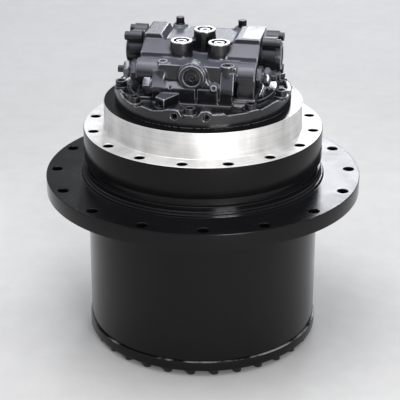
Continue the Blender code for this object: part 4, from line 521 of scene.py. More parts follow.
class Tree:
    """Builds a node tree: every node comes from its node method."""

    def __init__(self, tree: bpy.types.NodeTree) -> None:
        """Take an existing tree and empty it."""
        self.tree = tree
        tree.nodes.clear()

    def node(self, kind: str, settings: dict | None = None, inputs: dict | None = None) -> bpy.types.Node:
        """Add a node.

        Args:
            kind: The node's type.
            settings: Its properties, set first; "stops" fills a colour ramp.
            inputs: Values or wires by socket name or number.

        Returns:
            The node.
        """
        made = self.tree.nodes.new(kind)
        for name, value in (settings or {}).items():
            if name == "stops":
                ramp = made.color_ramp.elements
                while len(ramp) < len(value):
                    ramp.new(0.5)
                for stop, (position, colour) in zip(ramp, value):
                    stop.position, stop.color = position, (*colour, 1.0)
            else:
                setattr(made, name, value)
        for name, value in (inputs or {}).items():
            if isinstance(value, Wire):
                self.tree.links.new(value.socket, made.inputs[name])
            else:
                made.inputs[name].default_value = value
        return made

    def value(self, kind: str, settings: dict | None = None, inputs: dict | None = None,
              output: int | str = 0) -> Wire:
        """Add a node and give back one of its outputs as a wire."""
        return Wire(self, self.node(kind, settings, inputs).outputs[output])

    def place(self) -> Wire:
        """Object coordinates, in metres."""
        return self.value("ShaderNodeTexCoord", output="Object")

    def axes(self, vector: Wire) -> tuple[Wire, Wire, Wire]:
        """Split a vector into x, y and z."""
        split = self.node("ShaderNodeSeparateXYZ", inputs={0: vector})
        return tuple(Wire(self, split.outputs[n]) for n in range(3))

    def noise(self, vector: Wire, scale: float, detail: float = 3.0, roughness: float = 0.5) -> Wire:
        """Cloud noise from 0 to 1."""
        return self.value("ShaderNodeTexNoise", {"noise_dimensions": "3D"}, {
            "Vector": vector, "Scale": scale, "Detail": detail, "Roughness": roughness}, "Fac")

    def joined(self, x: Wire, y: Wire, z: Wire) -> Wire:
        """A vector from three values."""
        return self.value("ShaderNodeCombineXYZ", inputs={0: x, 1: y, 2: z})

    def mixed(self, share: Wire, low: tuple | Wire, high: tuple | Wire) -> Wire:
        """A colour between two others."""
        low, high = (value if isinstance(value, Wire) else (*value, 1.0) for value in (low, high))
        return self.value("ShaderNodeMix", {"data_type": "RGBA"}, {0: share, 6: low, 7: high}, 2)

    def bump(self, height: Wire, strength: float) -> Wire:
        """A normal from a height in metres."""
        return self.value("ShaderNodeBump", None, {"Height": height, "Distance": 1.0, "Strength": strength})


@dataclass(frozen=True)
class Finish:
    """What every finish has: a name and the fixed values of its shader."""

    name: str
    fixed: dict = field(default_factory=dict)

    def surface(self, tree: Tree) -> dict:
        """Wires for the shader's sockets."""
        return {}

    def material(self) -> bpy.types.Material:
        """Make the material."""
        made = bpy.data.materials.new(self.name)
        made.use_nodes = True
        tree = Tree(made.node_tree)
        shader = tree.value("ShaderNodeBsdfPrincipled", None, {**self.fixed, **self.surface(tree)})
        tree.node("ShaderNodeOutputMaterial", None, {"Surface": shader})
        return made


@dataclass(frozen=True)
class Paint(Finish):
    """Sprayed paint: orange peel, dust and painted sheen on what looks up, painted edge and joint
    highlights.
    """

    colour: tuple = (0.004, 0.004, 0.0045)
    # Colour for faces that look up, partly dust and partly a painted sheen of the sky; on castings only
    # between the heights below.
    dust_and_sheen: tuple = (0.006, 0.006, 0.007)
    dust_and_sheen_level: tuple = (0.54, 0.565)
    # Colour of the painted highlight on convex edges that face up.
    painted_edge_highlight: tuple = ()
    gloss: float = 0.2
    peel: float = 0.0001
    cast: float = 0.0
    joint: float = 0.0
    # Depths under the joint and colour of a painted highlight line along the cover's top edge.
    joint_highlight_band: tuple = (0.0013, 0.001)
    joint_highlight_colour: tuple = (0.26, 0.26, 0.27)

    def surface(self, tree: Tree) -> dict:
        """Colour, roughness and bump of the paint."""
        place = tree.place()
        high = tree.axes(place)[2]
        cloud = tree.noise(place, 9.0, 4.0, 0.6)
        up = tree.axes(tree.value("ShaderNodeNewGeometry", output="Normal"))[2]
        # Faces that look up turn towards the dust colour: partly dust, partly a painted sheen of the light
        # from above.
        dust_and_sheen_share = up.step(0.0, 0.6) * (cloud.step(0.3, 0.7) * 0.4 + 0.6)
        if self.painted_edge_highlight:
            dust_and_sheen_share = dust_and_sheen_share * high.step(*self.dust_and_sheen_level)
        colour = tree.mixed(dust_and_sheen_share, self.colour, self.dust_and_sheen)
        if self.painted_edge_highlight:
            # Painted highlight: convex edges that face up turn light.
            edge = tree.value("ShaderNodeNewGeometry", output="Pointiness").step(0.52, 0.575)
            colour = tree.mixed(edge * (up.step(-0.5, 0.3) * 0.85), colour, self.painted_edge_highlight)
        if self.joint:
            # Painted highlight: above a millimetre under the joint the colour turns light, broken by noise;
            # on the cover only a thin line at its top edge shows.
            low, full = (self.joint - depth for depth in self.joint_highlight_band)
            colour = tree.mixed(high.step(low, full) * cloud.step(0.48, 0.58), colour, self.joint_highlight_colour)
        height = tree.noise(place, 260.0, 2.0) * self.peel
        if self.cast:
            height = height + tree.noise(place, 110.0, 3.0, 0.6) * self.cast
        return {"Base Color": colour,
                "Roughness": cloud * 0.12 + dust_and_sheen_share * 0.12 + (self.gloss - 0.06),
                "Normal": tree.bump(height, 0.7)}


@dataclass(frozen=True)
class TurnedSteel(Finish):
    """Bright steel from the lathe, with tool marks and painted reflection bands round the axis and black
    paint on some zones.

    Lengths are metres. Black paint covers what lies past the rim radius and the top face inside
    its edge, and the walls of the holes are coloured black. Of the groove's three radii, black
    covers the core inside the first and the ring between the other two.
    """

    colour: tuple = (0.92, 0.91, 0.89)
    # Dark end of the steel's tone, reached by tool marks, smears and the painted reflection bands.
    shade: tuple = (0.5, 0.495, 0.49)
    # Black of the painted rim and top face; the hole walls, groove and core take it too.
    paint: tuple = (0.004, 0.004, 0.0045)
    marks: float = 900.0
    depth: float = 0.00003
    rough: float = 0.42
    sheen: float = 0.14
    rim_radius: float = 0.0
    top_face: tuple = ()
    groove: tuple = ()
    hole_radius: float = 0.21
    hole_level: float = 0.0
    centre: tuple = (0.0, 0.0)

    def bare(self, radius: Wire, height: Wire) -> Wire:
        """Share of bare steel at a radius and a height, from 0 to 1."""
        share = 1.0 - radius.step(self.rim_radius, self.rim_radius + 0.0006)
        if self.top_face:
            level, edge = self.top_face
            inside = 1.0 - radius.step(edge, edge + 0.0006)
            share = share * (1.0 - height.step(level - 0.0004, level) * inside)
        if self.groove:
            core, low, high = self.groove
            black = radius.step(low, low + 0.0003) * (1.0 - radius.step(high, high + 0.0003))
            share = share * (1.0 - black) * radius.step(core, core + 0.0003)
        if self.hole_level:
            deep = 1.0 - height.step(self.hole_level - 0.0016, self.hole_level)
            share = share * (1.0 - radius.step(self.hole_radius, self.hole_radius + 0.0005) * deep)
        return share

    def surface(self, tree: Tree) -> dict:
        """Colour, roughness, metal share and bump of the steel."""
        place = tree.place()
        x, y, z = tree.axes(place)
        x, y = x - self.centre[0], y - self.centre[1]
        radius = (x * x + y * y).math("SQRT")
        around = y.math("ARCTAN2", x)
        marks = tree.noise(tree.joined(radius * self.marks, around * 1.5, z * self.marks), 1.0, 3.0, 0.65)
        # Painted reflection: bands round the axis that lighten and darken the steel like streaks of
        # reflected light.
        reflection_bands = tree.noise(tree.joined(radius * 9.0, around * 7.0, z * 9.0), 1.0, 3.0, 0.6)
        smear = tree.noise(place, 14.0, 4.0, 0.6)
        tone = marks * 0.45 + reflection_bands * 0.35 + smear * 0.35
        wires = {"Base Color": tree.mixed(tone.step(0.3, 0.85), self.shade, self.colour),
                 "Roughness": marks * 0.14 + smear * 0.12 + (self.rough - 0.1),
                 "Normal": tree.bump(marks * self.depth, 0.6)}
        if self.rim_radius:
            bare = self.bare(radius, z)
            wires["Base Color"] = tree.mixed(bare, self.paint, wires["Base Color"])
            wires["Metallic"] = bare * self.fixed["Metallic"]
            wires["Roughness"] = wires["Roughness"] * bare + (1.0 - bare) * (smear * 0.1 + self.sheen)
        return wires


@dataclass(frozen=True)
class PlainMetal(Finish):
    """Metal with a fine ground grain and slight stains."""

    colour: tuple = (0.35, 0.35, 0.36)
    stain: tuple = (0.22, 0.21, 0.2)
    rough: float = 0.34

    def surface(self, tree: Tree) -> dict:
        """Colour, roughness and bump of the metal."""
        place = tree.place()
        cloud = tree.noise(place, 25.0, 4.0, 0.6)
        grain = tree.noise(place, 700.0, 2.0)
        return {"Base Color": tree.mixed(cloud.step(0.35, 0.75), self.colour, self.stain),
                "Roughness": cloud * 0.16 + grain * 0.06 + (self.rough - 0.11),
                "Normal": tree.bump(grain * 0.00004, 0.6)}


@dataclass(frozen=True)
class Rubber(Finish):
    """Moulded rubber with a dull bloom."""

    def surface(self, tree: Tree) -> dict:
        """Colour, roughness and bump of the rubber."""
        place = tree.place()
        cloud = tree.noise(place, 40.0, 3.0)
        return {"Base Color": tree.mixed(cloud, (0.012, 0.012, 0.012), (0.035, 0.034, 0.033)),
                "Roughness": cloud * 0.2 + 0.6,
                "Normal": tree.bump(tree.noise(place, 900.0, 2.0) * 0.00005, 0.5)}


@dataclass(frozen=True)
class Floor(Finish):
    """Pale plain floor, with painted shade darkening it towards the back."""

    def surface(self, tree: Tree) -> dict:
        """Colour of the floor."""
        place = tree.place()
        cloud = tree.noise(place, 1.3, 5.0, 0.6)
        fine = tree.noise(place, 14.0, 6.0, 0.7)
        share = cloud.step(0.3, 0.7) * 0.6 + fine.step(0.35, 0.7) * 0.4
        colour = tree.mixed(share, (0.53, 0.527, 0.52), (0.61, 0.606, 0.598))
        # Painted shade: the colour darkens towards the back.
        far = tree.axes(place)[1].step(0.2, 2.6) * 0.3
        return {"Base Color": tree.mixed(far, colour, (0.3, 0.298, 0.292)),
                "Roughness": cloud * 0.1 + 0.7}


class Finishes:
    """All finishes of the drive."""

    def __init__(self) -> None:
        """Make the materials."""
        metal, bare = {"Metallic": 1.0}, {"Metallic": 0.75, "Specular IOR Level": 0.16}
        paint, drum, cover, cast = ({"Metallic": 0.0, "Specular IOR Level": level}
                                    for level in (0.5, 0.19, 0.2, 0.58))
        # The dust colours of these paints are partly dust, partly a painted sheen on faces that look up.
        self.gloss = Paint("gloss black paint", drum, gloss=0.15).material()
        # The cover's joint carries a painted highlight line.
        self.cover = Paint("gloss black paint on cover", cover, gloss=0.24, joint=0.035).material()
        self.satin = Paint("satin black paint", paint, gloss=0.34, colour=(0.005, 0.005, 0.0055),
                           dust_and_sheen=(0.012, 0.012, 0.013)).material()
        # The casting's edge colour is a painted highlight on its convex edges.
        self.casting = Paint("paint on casting", cast, gloss=0.2, cast=0.0004, colour=(0.006, 0.006, 0.007),
                             dust_and_sheen=(0.09, 0.094, 0.118), painted_edge_highlight=(0.42, 0.43, 0.48)).material()
        self.cap = Paint("paint on caps", paint, gloss=0.22, cast=0.0003, colour=(0.006, 0.006, 0.007),
                         dust_and_sheen=(0.05, 0.052, 0.064)).material()
        self.head = Paint("paint on screw heads", paint, gloss=0.2, dust_and_sheen=(0.05, 0.051, 0.058)).material()
        self.steel = TurnedSteel("turned steel", bare, rim_radius=0.2442, top_face=(0.5136, 0.2012),
                                 hole_level=0.4592).material()
        self.inner_steel = TurnedSteel("turned inner steel", metal).material()
        self.gear = PlainMetal("gear steel", metal).material()
        self.bolt = PlainMetal("black oxide", metal, colour=(0.045, 0.045, 0.05),
                               stain=(0.09, 0.09, 0.095), rough=0.36).material()
        self.bright = PlainMetal("grey hexagon steel", metal, colour=(0.17, 0.174, 0.195),
                                 stain=(0.1, 0.102, 0.112), rough=0.34).material()
        self.bronze = PlainMetal("bronze", metal, colour=(0.5, 0.33, 0.15),
                                 stain=(0.3, 0.2, 0.1)).material()
        self.rubber = Rubber("seal rubber", {"Metallic": 0.0}).material()
        self.plate = PlainMetal("bare plate", {"Metallic": 0.1}, colour=(0.66, 0.66, 0.67),
                                stain=(0.5, 0.5, 0.51), rough=0.7).material()
        self.floor = Floor("pale floor", {"Metallic": 0.0, "Specular IOR Level": 0.2}).material()

    def dress(self) -> None:
        """Give every CAD node the finish of its slot."""
        by_slot = {Slot.GLOSS: self.gloss, Slot.SATIN: self.satin, Slot.CASTING: self.casting,
                   Slot.TURNED: self.inner_steel, Slot.GEAR: self.gear, Slot.BOLT: self.bolt,
                   Slot.BRONZE: self.bronze, Slot.RUBBER: self.rubber}
        slots = {row["node"]: Slot(row["material_slot"]) for row in frame["record"]["subparts"]}
        for name, item in frame["nodes"].items():
            item.data.materials.clear()
            item.data.materials.append(by_slot[slots[name]])


# Fasteners

def cap_screw(radius: float, height: float) -> Array:
    """Socket head on +Z with its seat at zero: a turned head with a hexagon socket."""
    socket = radius * 0.58
    profile = eased([(0, -2, 0, 0), (radius, -2, 0, 0), (radius, height, 0, 1),
                     (socket + 0.8, height, 0.3, 0.3), (socket, height - 1, 1, 0),
                     (socket, height * 0.45, 1, 0), (0, height * 0.35, 0, 0)])
    return turning(profile, 24)


def hexagon_head(apothem: float, low: float, high: float) -> Array:
    """Hexagon between two heights, its corners turned off at both ends."""
    bevel = apothem * 0.12
    return turning(np.array([(0, low, 0), (apothem * 0.97, low, 0), (apothem, low + bevel, 1),
                             (apothem, high - bevel, 1), (apothem * 0.95, high, 0), (0, high, 0)]), 24)


def round_bar(*stations: tuple[float, float, float], facets: int = 32) -> Array:
    """Turned bar on +Z from (radius, height, corner radius) stations, closed on the axis at both ends."""
    first, last = ((0, stations[n][1], 0) for n in (0, -1))
    return turning(eased([first, *stations, last]), facets)


# Parts of the drive

@dataclass
class Hub:
    """Drum with the sprocket flange, and the end cover with its screws."""

    facets: int = 192
    drum: float = 239.1
    drum_bottom: float = 35.3
    flange: float = 324.9
    flange_low: float = 325.0
    flange_high: float = 358.1
    hole: float = 11.0
    hole_circle: float = 303.7
    lip_top: float = 392.1
    cover: float = 242.3
    screw_circle: float = 227.0
    screws: int = 30

    def build(self, finishes: Finishes) -> None:
        """Make the drum and the cover."""
        self.build_drum(finishes)
        self.build_cover(finishes)

    def build_drum(self, finishes: Finishes) -> None:
        """Turned drum: two turned strips joined by the flange's punched faces."""
        first = FRONT + HUB_TURN
        turn = first - math.pi / FLANGE_HOLES
        top, low = self.flange_high, self.flange_low
        inner_top, inner_low, outer = 253, self.drum + 4, self.flange - 2
        hole, mouth = self.hole, self.hole + 1
        wall = [(mouth, top), (hole, top - 1), (hole, low + 1), (mouth, low)]
        rim = eased([(outer, top, 0), (self.flange, top, 1.8), (self.flange, low, 1.8), (outer, low, 0)])
        shell = eased([
            (inner_low, low, 0), (self.drum, low, 3.8), (self.drum, self.drum_bottom, 1.2),
            (209.4, self.drum_bottom, 0.8), (209.4, 207.3, 0), (194.1, 207.3, 0), (194.1, 252.3, 0),
            (182.1, 252.3, 0), (182.1, 280.2, 0), (194.1, 280.2, 0), (194.1, 346.1, 0), (218.1, 346.1, 0),
            (218.1, 362.4, 0), (228.6, 362.4, 0), (228.6, self.lip_top, 0.6), (236, self.lip_top, 1.2),
            (236, 378.2, 1.4), (243, 378.2, 1.6), (243, 368, 1), (245.5, 367, 0.8), (245.5, 363.4, 0.8),
            (250, 363, 1.6), (250, top, 2.8), (inner_top, top, 0)])
        sector = punched_sector((inner_top, outer, top), self.hole_circle, wall, (inner_low, outer, low))
        form = Form().copies(sector, turns(first))
        form.grid(turning(rim, self.facets, turn)).grid(turning(shell, self.facets, turn))
        form.piece("hub_shell", Slot.GLOSS, finishes.gloss, ["hub_drum"], Body.HUB)

    def build_cover(self, finishes: Finishes) -> None:
        """Turned cover with its round foot, then its ring of socket screws."""
        joint, flange = 35, 14
        profile = eased([
            (0, 39.7, 0), (34, 39.7, 1), (34, 23, 3), (197, 23, 3), (197, 40, 1), (205, 40, 1),
            (205, joint, 0), (self.cover, joint, 1), (self.cover, flange, 2), (213, flange, 2),
            (201, 8, 4), (105, 8, 4), (95, 0, 2), (0, 0, 0)])
        form = Form().grid(turning(profile, self.facets))
        form.piece("cover_disc", Slot.SATIN, finishes.cover, ["end_cover"], Body.HUB)
        angles = FRONT + HUB_TURN + (np.arange(self.screws) + 0.5) * 2 * math.pi / self.screws
        circle = self.screw_circle
        spots = [towards(circle * math.cos(angle), circle * math.sin(angle), flange, DOWN, angle)
                 for angle in angles]
        Form().copies(cap_screw(9, 12), spots).piece("cover_screws", Slot.BOLT, finishes.head, body=Body.HUB)


@dataclass
class Case:
    """Frame flange, pilot and spindle in one turned forging."""

    facets: int = 192
    flange: float = 245.3
    low: float = 396.1
    top: float = 460.1
    pilot: float = 202.6
    pilot_top: float = 513.8
    hole_circle: float = 227.0

    def build(self, finishes: Finishes) -> None:
        """Make the case with its blind tapped holes and the swash plate's two pivot posts."""
        inner, outer, top = self.pilot + 1, self.flange - 1.5, self.top
        wall = [(12, top), (10.6, top - 1.6), (10.6, top - 36), (9, top - 37), (0, top - 41)]
        shell = eased([
            (outer, top, 0), (self.flange, top - 1.5, 0.6), (self.flange, self.low, 1.5),
            (226, self.low, 0.5), (226, 367.1, 1), (218.1, 367.1, 0.5), (218.1, 380.7, 0),
            (186, 380.7, 0), (186, 324.5, 0), (166, 324.5, 0), (166, 316.8, 0), (148, 316.8, 0),
            (148, 215.6, 0), (132, 215.6, 0), (132, 207.6, 0), (76, 207.6, 0), (76, 185.3, 1),
            (32, 185.3, 1), (32, 228, 0), (43.1, 228, 0), (43.1, 250.3, 0), (32, 250.3, 0), (32, 262, 0),
            (105.5, 262, 3), (105.5, 384, 1), (140.5, 384, 0), (140.5, self.pilot_top, 1),
            (self.pilot, self.pilot_top, 1.2), (self.pilot, top + 0.8, 0.5), (inner, top, 0)])
        form = Form().copies(punched_sector((inner, outer, top), self.hole_circle, wall), turns(FRONT))
        form.grid(turning(shell, self.facets, FRONT - math.pi / FLANGE_HOLES))
        post = round_bar((8.9, 299, 7), (8.9, 283, 4), (5.4, 283, 0), (10.7, 282, 0), (10.7, 261, 0))
        form.copies(post, [Matrix.Translation((x, 0, 0)) for x in (-60, 60)])
        form.piece("case_forging", Slot.TURNED, finishes.steel, ["spindle_case"])


@dataclass
class ValveBlock:
    """Rear cover and counterbalance valve block, one casting, with what is screwed into it."""

    cover: float = 179.6
    joint: float = 514.1
    channel: float = 537.0
    crown: float = 546.0
    top: float = 610.0
    bridge_top: float = 635.0
    pad_top: float = 649.0
    gallery: tuple = (-70, 590)
    spool: tuple = (17, 607)
    port: tuple = (38, -34, 645)
    centre: tuple = (0, 18, 655)
    rear_plug: tuple = (65, 93, 641)
    front_plug: tuple = (-4.5, 590.5)
    side_plug: tuple = (-90, 566)
    plate_screws: tuple = ((-66, -80, 10), (64, -86, 14))
    screw_circle: float = 166.0
    screw_degrees: tuple = (-88.8, -46, -134, -10, -170, 28, 152, 66, 114)
    screw_seat: float = 541.1
    plate_screw_seat: float = 609.5
    cap_screws: tuple = ((-26, -33), (-26, 33), (26, -33), (26, 33))
    rim_line: tuple = (
        (-180, 539), (-159, 540), (-154, 549), (-146, 549), (-141, 542.6), (-136, 542), (-131, 538),
        (-127, 538), (-122, 544), (-113, 541), (-105, 545.5), (-102.5, 549), (-95.5, 549), (-93, 537),
        (-84, 537), (-81, 548.5), (-76, 548.5), (-74, 544), (-67, 544), (-65, 539.5), (-40, 540),
        (-30, 545), (-24, 545), (-18, 537.5), (-5, 537.5), (0, 541), (20, 541), (24, 537.5), (32, 537.5),
        (36, 544), (57, 541), (61, 537.5), (71, 537.5), (76, 545), (104, 545), (109, 537.5), (119, 537.5),
        (124, 541), (144, 544), (147, 537.5), (157, 537.5), (161, 541))

    def screws(self) -> Array:
        """Places of the cover's screws as (x, y)."""
        angle = np.radians(self.screw_degrees)
        return self.screw_circle * np.stack([np.cos(angle), np.sin(angle)], -1)

    def rim(self, at: Space) -> Array:
        """Distance to the cover disc, whose raised rim follows the rim line round the channel.

        The top is at c + (r(a) - c) s, with the channel's level c, the rim line r(a) and a share s
        that eases from the channel to the rim.
        """
        x, y, z = at.up
        radius = length(x, y)
        angle, level = np.array(self.rim_line).T
        line = np.interp(np.degrees(np.arctan2(y, x)), angle, level, period=360)
        share = np.clip((radius - 165) / 5, 0, 1)
        top = self.channel + (line - self.channel) * share * share * (3 - 2 * share)
        body = common(common(radius - self.cover, 0.8 * (z - top), 2.5), self.joint - z, 1)
        crown = np.maximum(disc(at.up, (0, 0), 151, self.joint, self.crown, 3), -103 - y)
        seats = [(disc(at.up, spot, 14.6, 520, 541, 1.5), 4) for spot in self.screws()]
        body = united(body, (crown, 5), *seats)
        for axes in (at.radial(-98), at.radial(-78)):
            body = merged(body, disc(axes, (0, 536), 13, 146, 178.6, 1), 3)
            body = without(body, disc(axes, (0, 536), 6.6, 176, 190, 0.3), 0.8)
            body = without(body, disc(axes, (0, 536), 4, 164, 190, 0.3), 0.6)
        return np.maximum(body, radius - self.cover)

    def shoulders(self, at: Space) -> Array:
        """Distance to both shoulders: gallery, riser, ramp, pad and slanted back."""
        x, y, z = at.up
        gy, gz = self.gallery
        pads = []
        for sign, front in ((-1, -11), (1, -20)):
            form = prism((y, z, sign * x), [
                (gy + 5, gz), (-51, 613), (-49, 621), (front, 638.5), (front + 1, self.pad_top),
                (73, self.pad_top), (75, self.bridge_top - 2), (107, self.top + 4), (107, 530),
                (gy + 5, 530)], 55, 118, 2.5)
            edge = 0.44 * (z - 636) + 0.9 * (69.1 - 7.5 * sign - sign * x)
            pads.append(common(form, np.where(y > front - 2, edge, -20), 1.5))
        feet = [slab(at.up, low, high, 2.5) for low, high in (
            ((84, -95, 520), (118, -50, 590)), ((-117, -95, 520), (-80, -50, 547)),
            ((-117, -74, 520), (-80, -50, 590)))]
        step = prism(at.across, [(-113, 530), (-113, 537), (-98, 551), (-60, 551),
                                 (-60, 530)], 79, 120, 1.2)
        return united(np.minimum(*pads), (disc(at.side, self.gallery, 25, 58, 119, 2.5), 3.5),
                      (np.minimum.reduce(feet), 4), (step, 2))

    def face(self, at: Space) -> Array:
        """Distance to the front forms: plate, sloping block, slanted boss, rib, lug and round boss."""
        lower = prism(at.across, [(-107, 526), (-107, 568), (-95, 578), (-80, 579),
                                  (-80, 526)], -83, 77, 1.6)
        plate = prism(at.front, [(-72, 612.5), (-72, 597), (-65, 586), (-53, 580), (-30, 579), (52, 579),
                                 (66, 585), (82, 598), (82, 612.5)], 50, 95, 1.8)
        ramp = prism(at.across, [(-106, 560), (-106, 569), (-94, 598), (-80, 604), (-80, 560)], -85, -60, 3)
        slant = prism(at.across, [(-107.8, 560), (-107.8, 570.5), (-97.5, 602), (-84, 602),
                                  (-84, 560)], 52, 78.5, 1.5)
        rib = prism(at.front, [(13, 571), (25, 587), (36, 571)], 88, 106, 1.5)
        boss = disc(at.front, (40, 573), 7, 80, 108, 1)
        form = united(lower, (plate, 3), (ramp, 8), (slant, 1.5), (rib, 3), (boss, 3))
        form = without(form, disc(at.front, (40, 573), 3.6, 100, 120, 0.3), 0.6)
        for place, low, high in ((-47, 566, 590), (5, 526, 584), (49.5, 526, 580)):
            slot = slab(at.up, (place - 1.9, -115, low), (place + 1.9, -102.5, high), 0.8)
            form = without(form, slot, 1.2)
        form = merged(form, disc(at.front, self.front_plug, 29, 70, 101, 2), 5)
        form = np.minimum(form, disc(at.front, self.front_plug, 25.5, 90, 106, 1.5))
        lug = prism(at.up, [(-71, -132), (-51, -148), (-30, -108), (-40, -100), (-65, -100)], 520, 558, 1.2)
        hole = disc(at.radial(-128.7, -61, -140), (0, 546), 4, -9, 9, 0.3)
        return merged(form, without(lug, hole, 0.8), 2.5)

    def distance(self, x: Array, y: Array, z: Array) -> Array:
        """Distance field of the whole casting."""
        at, port, centre, rear = Space(x, y, z), self.port[2], self.centre[2], self.rear_plug[2]
        block = united(
            slab(at.up, (-75, -84, 520), (75, 107, self.top), 3.5),
            (slab(at.up, (-75, 2, 560), (75, 98, self.bridge_top), 2.5), 5),
            (self.shoulders(at), 3), (self.face(at), 3),
            (disc(at.pair, self.port, 24.4, 590, port - 0.6, 1.2, 0.045), 5),
            (disc(at.up, self.centre, 24, 600, centre - 0.6, 1.2, 0.04), 4),
            (disc(at.pair, self.rear_plug, 22, 600, rear, 2, 0.2), 8),
            (disc(at.side, self.spool, 36, 100, 122, 1.5), 4))
        for *spot, size in self.plate_screws:
            block = merged(block, disc(at.up, spot, size, 590, 615, 1.2), 2)
            block = without(block, disc(at.up, spot, size - 3, 610, 630, 0.3), 0.8)
        block = without(block, slab(at.up, (-103, -120, 549), (-84.5, -78, 584), 3), 2)
        body = np.maximum(merged(self.rim(at), block, 6), length(x, y) - self.cover)
        return self.bored(body, at)

    def bored(self, body: Array, at: Space) -> Array:
        """Cut the machined bores out of the casting."""
        port, centre = self.port[2], self.centre[2]
        for axes, spot, radius, low, high, edge in (
                (at.pair, self.port, 15.5, port - 27, port + 9, 0.5),
                (at.up, self.centre, 15.5, centre - 19, centre + 9, 0.5),
                (at.front, self.front_plug, 16.4, 88, 120, 0.5),
                (at.side, self.spool, 14.6, -1, 130, 0.3),
                (at.side, self.gallery, 9, 82, 130, 0.3),
                (at.up, (0, 0), 43.3, 500, 546.5, 0.3)):
            body = without(body, disc(axes, spot, radius, low, high, edge), 1)
        return body

    def build(self, finishes: Finishes) -> None:
        """Make the casting, its screws, plugs, caps, cartridges and plate."""
        axes = (spaced((-184, 2.7), (-124, 1.75), (124, 2.7), (184, 0)),
                spaced((-184, 1.75), (-38, 2.7), (184, 0)), spaced((510, 1.75), (660, 0)))
        Form().add(*net(self.distance, axes, reach=0.7)).piece(
            "valve_casting", Slot.CASTING, finishes.casting, ["rear_cover"], sharp=50)
        heads = Form().copies(cap_screw(11.5, 11), [
            towards(*spot, self.screw_seat, UP, 0.4 * number) for number, spot in enumerate(self.screws())])
        for *spot, size in self.plate_screws:
            heads.copies(cap_screw(size - 4.5, 5.5), [towards(*spot, self.plate_screw_seat, UP, 0.3)])
        heads.piece("cover_top_screws", Slot.BOLT, finishes.head)
        self.build_ports(finishes)
        self.build_plugs(finishes)
        self.build_caps(finishes)
        self.build_cartridges(finishes)
        self.build_plate(finishes)

    def build_ports(self, finishes: Finishes) -> None:
        """Ring faces and socket plugs of the three ports, and the front plug."""
        rim = turning(eased([(21.6, -3, 0), (21.6, 0, 0.7), (15.6, 0, 0.4), (15, -1.2, 0.3),
                             (15, -5, 0)]), 64)
        plug = turning(eased([(0, -17, 0, 0), (14.6, -17, 0, 0), (14.6, -7.4, 0, 0.3), (11.4, -7.8, 0, 0.3),
                              (10.8, -0.9, 0, 0.6), (5.6, -0.9, 0.4, 0.3), (4.9, -1.8, 1, 0),
                              (4.9, -14, 1, 0), (0, -14.5, 0, 0)]), 48)
        left = (-self.port[0], *self.port[1:])
        for side, place in (("left", left), ("right", self.port), ("centre", self.centre)):
            # Each plug's groove ring and socket core are coloured black.
            steel = TurnedSteel(f"{side}_port_plug steel", {"Metallic": 0.75, "Specular IOR Level": 0.15},
                                rough=0.4, rim_radius=0.05, groove=(0.0050, 0.0106, 0.0155), sheen=0.6,
                                centre=(place[0] * MILLIMETRE, place[1] * MILLIMETRE)).material()
            spot = towards(*place, UP, 0.3)
            Form().grid(rim, close_rows=True).moved(spot).piece(f"{side}_port_face", Slot.CASTING, steel)
            Form().grid(plug).moved(spot).piece(
                f"{side}_port_socket_plug", Slot.BOLT, steel, [f"{side}_port_plug"])
        front = turning(eased([(0, -14, 0, 0), (15, -14, 0, 0), (15, -3.6, 0, 1), (9.6, -3.6, 0, 0.4),
                               (9.2, -2.2, 0, 0.5), (6.6, -2.2, 0.5, 0.4), (5.8, -3.2, 1, 0),
                               (5.8, -9, 1, 0), (0, -10, 0, 0)]), 48)
        bx, bz = self.front_plug
        Form().grid(front).moved(towards(bx, -106, bz, FORWARD, 0.2)).piece(
            "front_socket_plug", Slot.BOLT, finishes.head, ["front_port_plug"])

    def build_plugs(self, finishes: Finishes) -> None:
        """Hexagon plugs behind the ports and on the left side."""
        x, y, z = self.rear_plug
        for side, sign in SIDES:
            form = Form().grid(hexagon_head(8.2, 2.2, 14.4)).grid(
                round_bar((6.4, -12, 0), (6.4, 0.2, 0), (10.5, 0.2, 0.5), (10.5, 2.4, 0.5)))
            form.moved(towards(sign * x, y, z, UP, 0.25)).piece(
                f"{side}_back_plug", Slot.BOLT, finishes.bolt, [f"{side}_hex_plug"])
        form = Form().grid(hexagon_head(16.2, 86.5, 103)).grid(
            round_bar((12, 80, 0), (12, 84.6, 0), (18.4, 84.6, 0.6), (18.4, 87, 0.6)))
        form.moved(towards(0, *self.side_plug, (-1, 0, 0), math.pi / 12)).piece(
            "side_hex_plug", Slot.BOLT, finishes.bright)

    def build_caps(self, finishes: Finishes) -> None:
        """End caps of the spool: a lobed plate, a raised disc and four screws."""
        sy, sz = self.spool
        rows = eased([(0, 122.3, 0), (1, 122.3, 0.015), (1, 148, 0.03), (0, 148, 0)], 5)
        near = lobed(38, 12, self.cap_screws)[None] * rows[:, :1, None]
        reach = np.broadcast_to(rows[:, 1:], near.shape[:2])
        raised = round_bar((29, 146, 0), (28, 157, 1.5), (20, 157, 1), (19, 155.5, 1), facets=64)
        for side, sign in SIDES:
            form = Form().grid(np.stack([sign * reach, sy + near[..., 0], sz + near[..., 1]], -1))
            form.copies(raised, [towards(0, sy, sz, (sign, 0, 0))])
            form.piece(f"{side}_spool_cap", Slot.CASTING, finishes.cap, [f"{side}_end_cap"])
            spots = [towards(sign * 148, sy + dy, sz + dz, (sign, 0, 0), 0.2) for dy, dz in self.cap_screws]
            Form().copies(cap_screw(9, 10), spots).piece(f"{side}_cap_screws", Slot.BOLT, finishes.head)

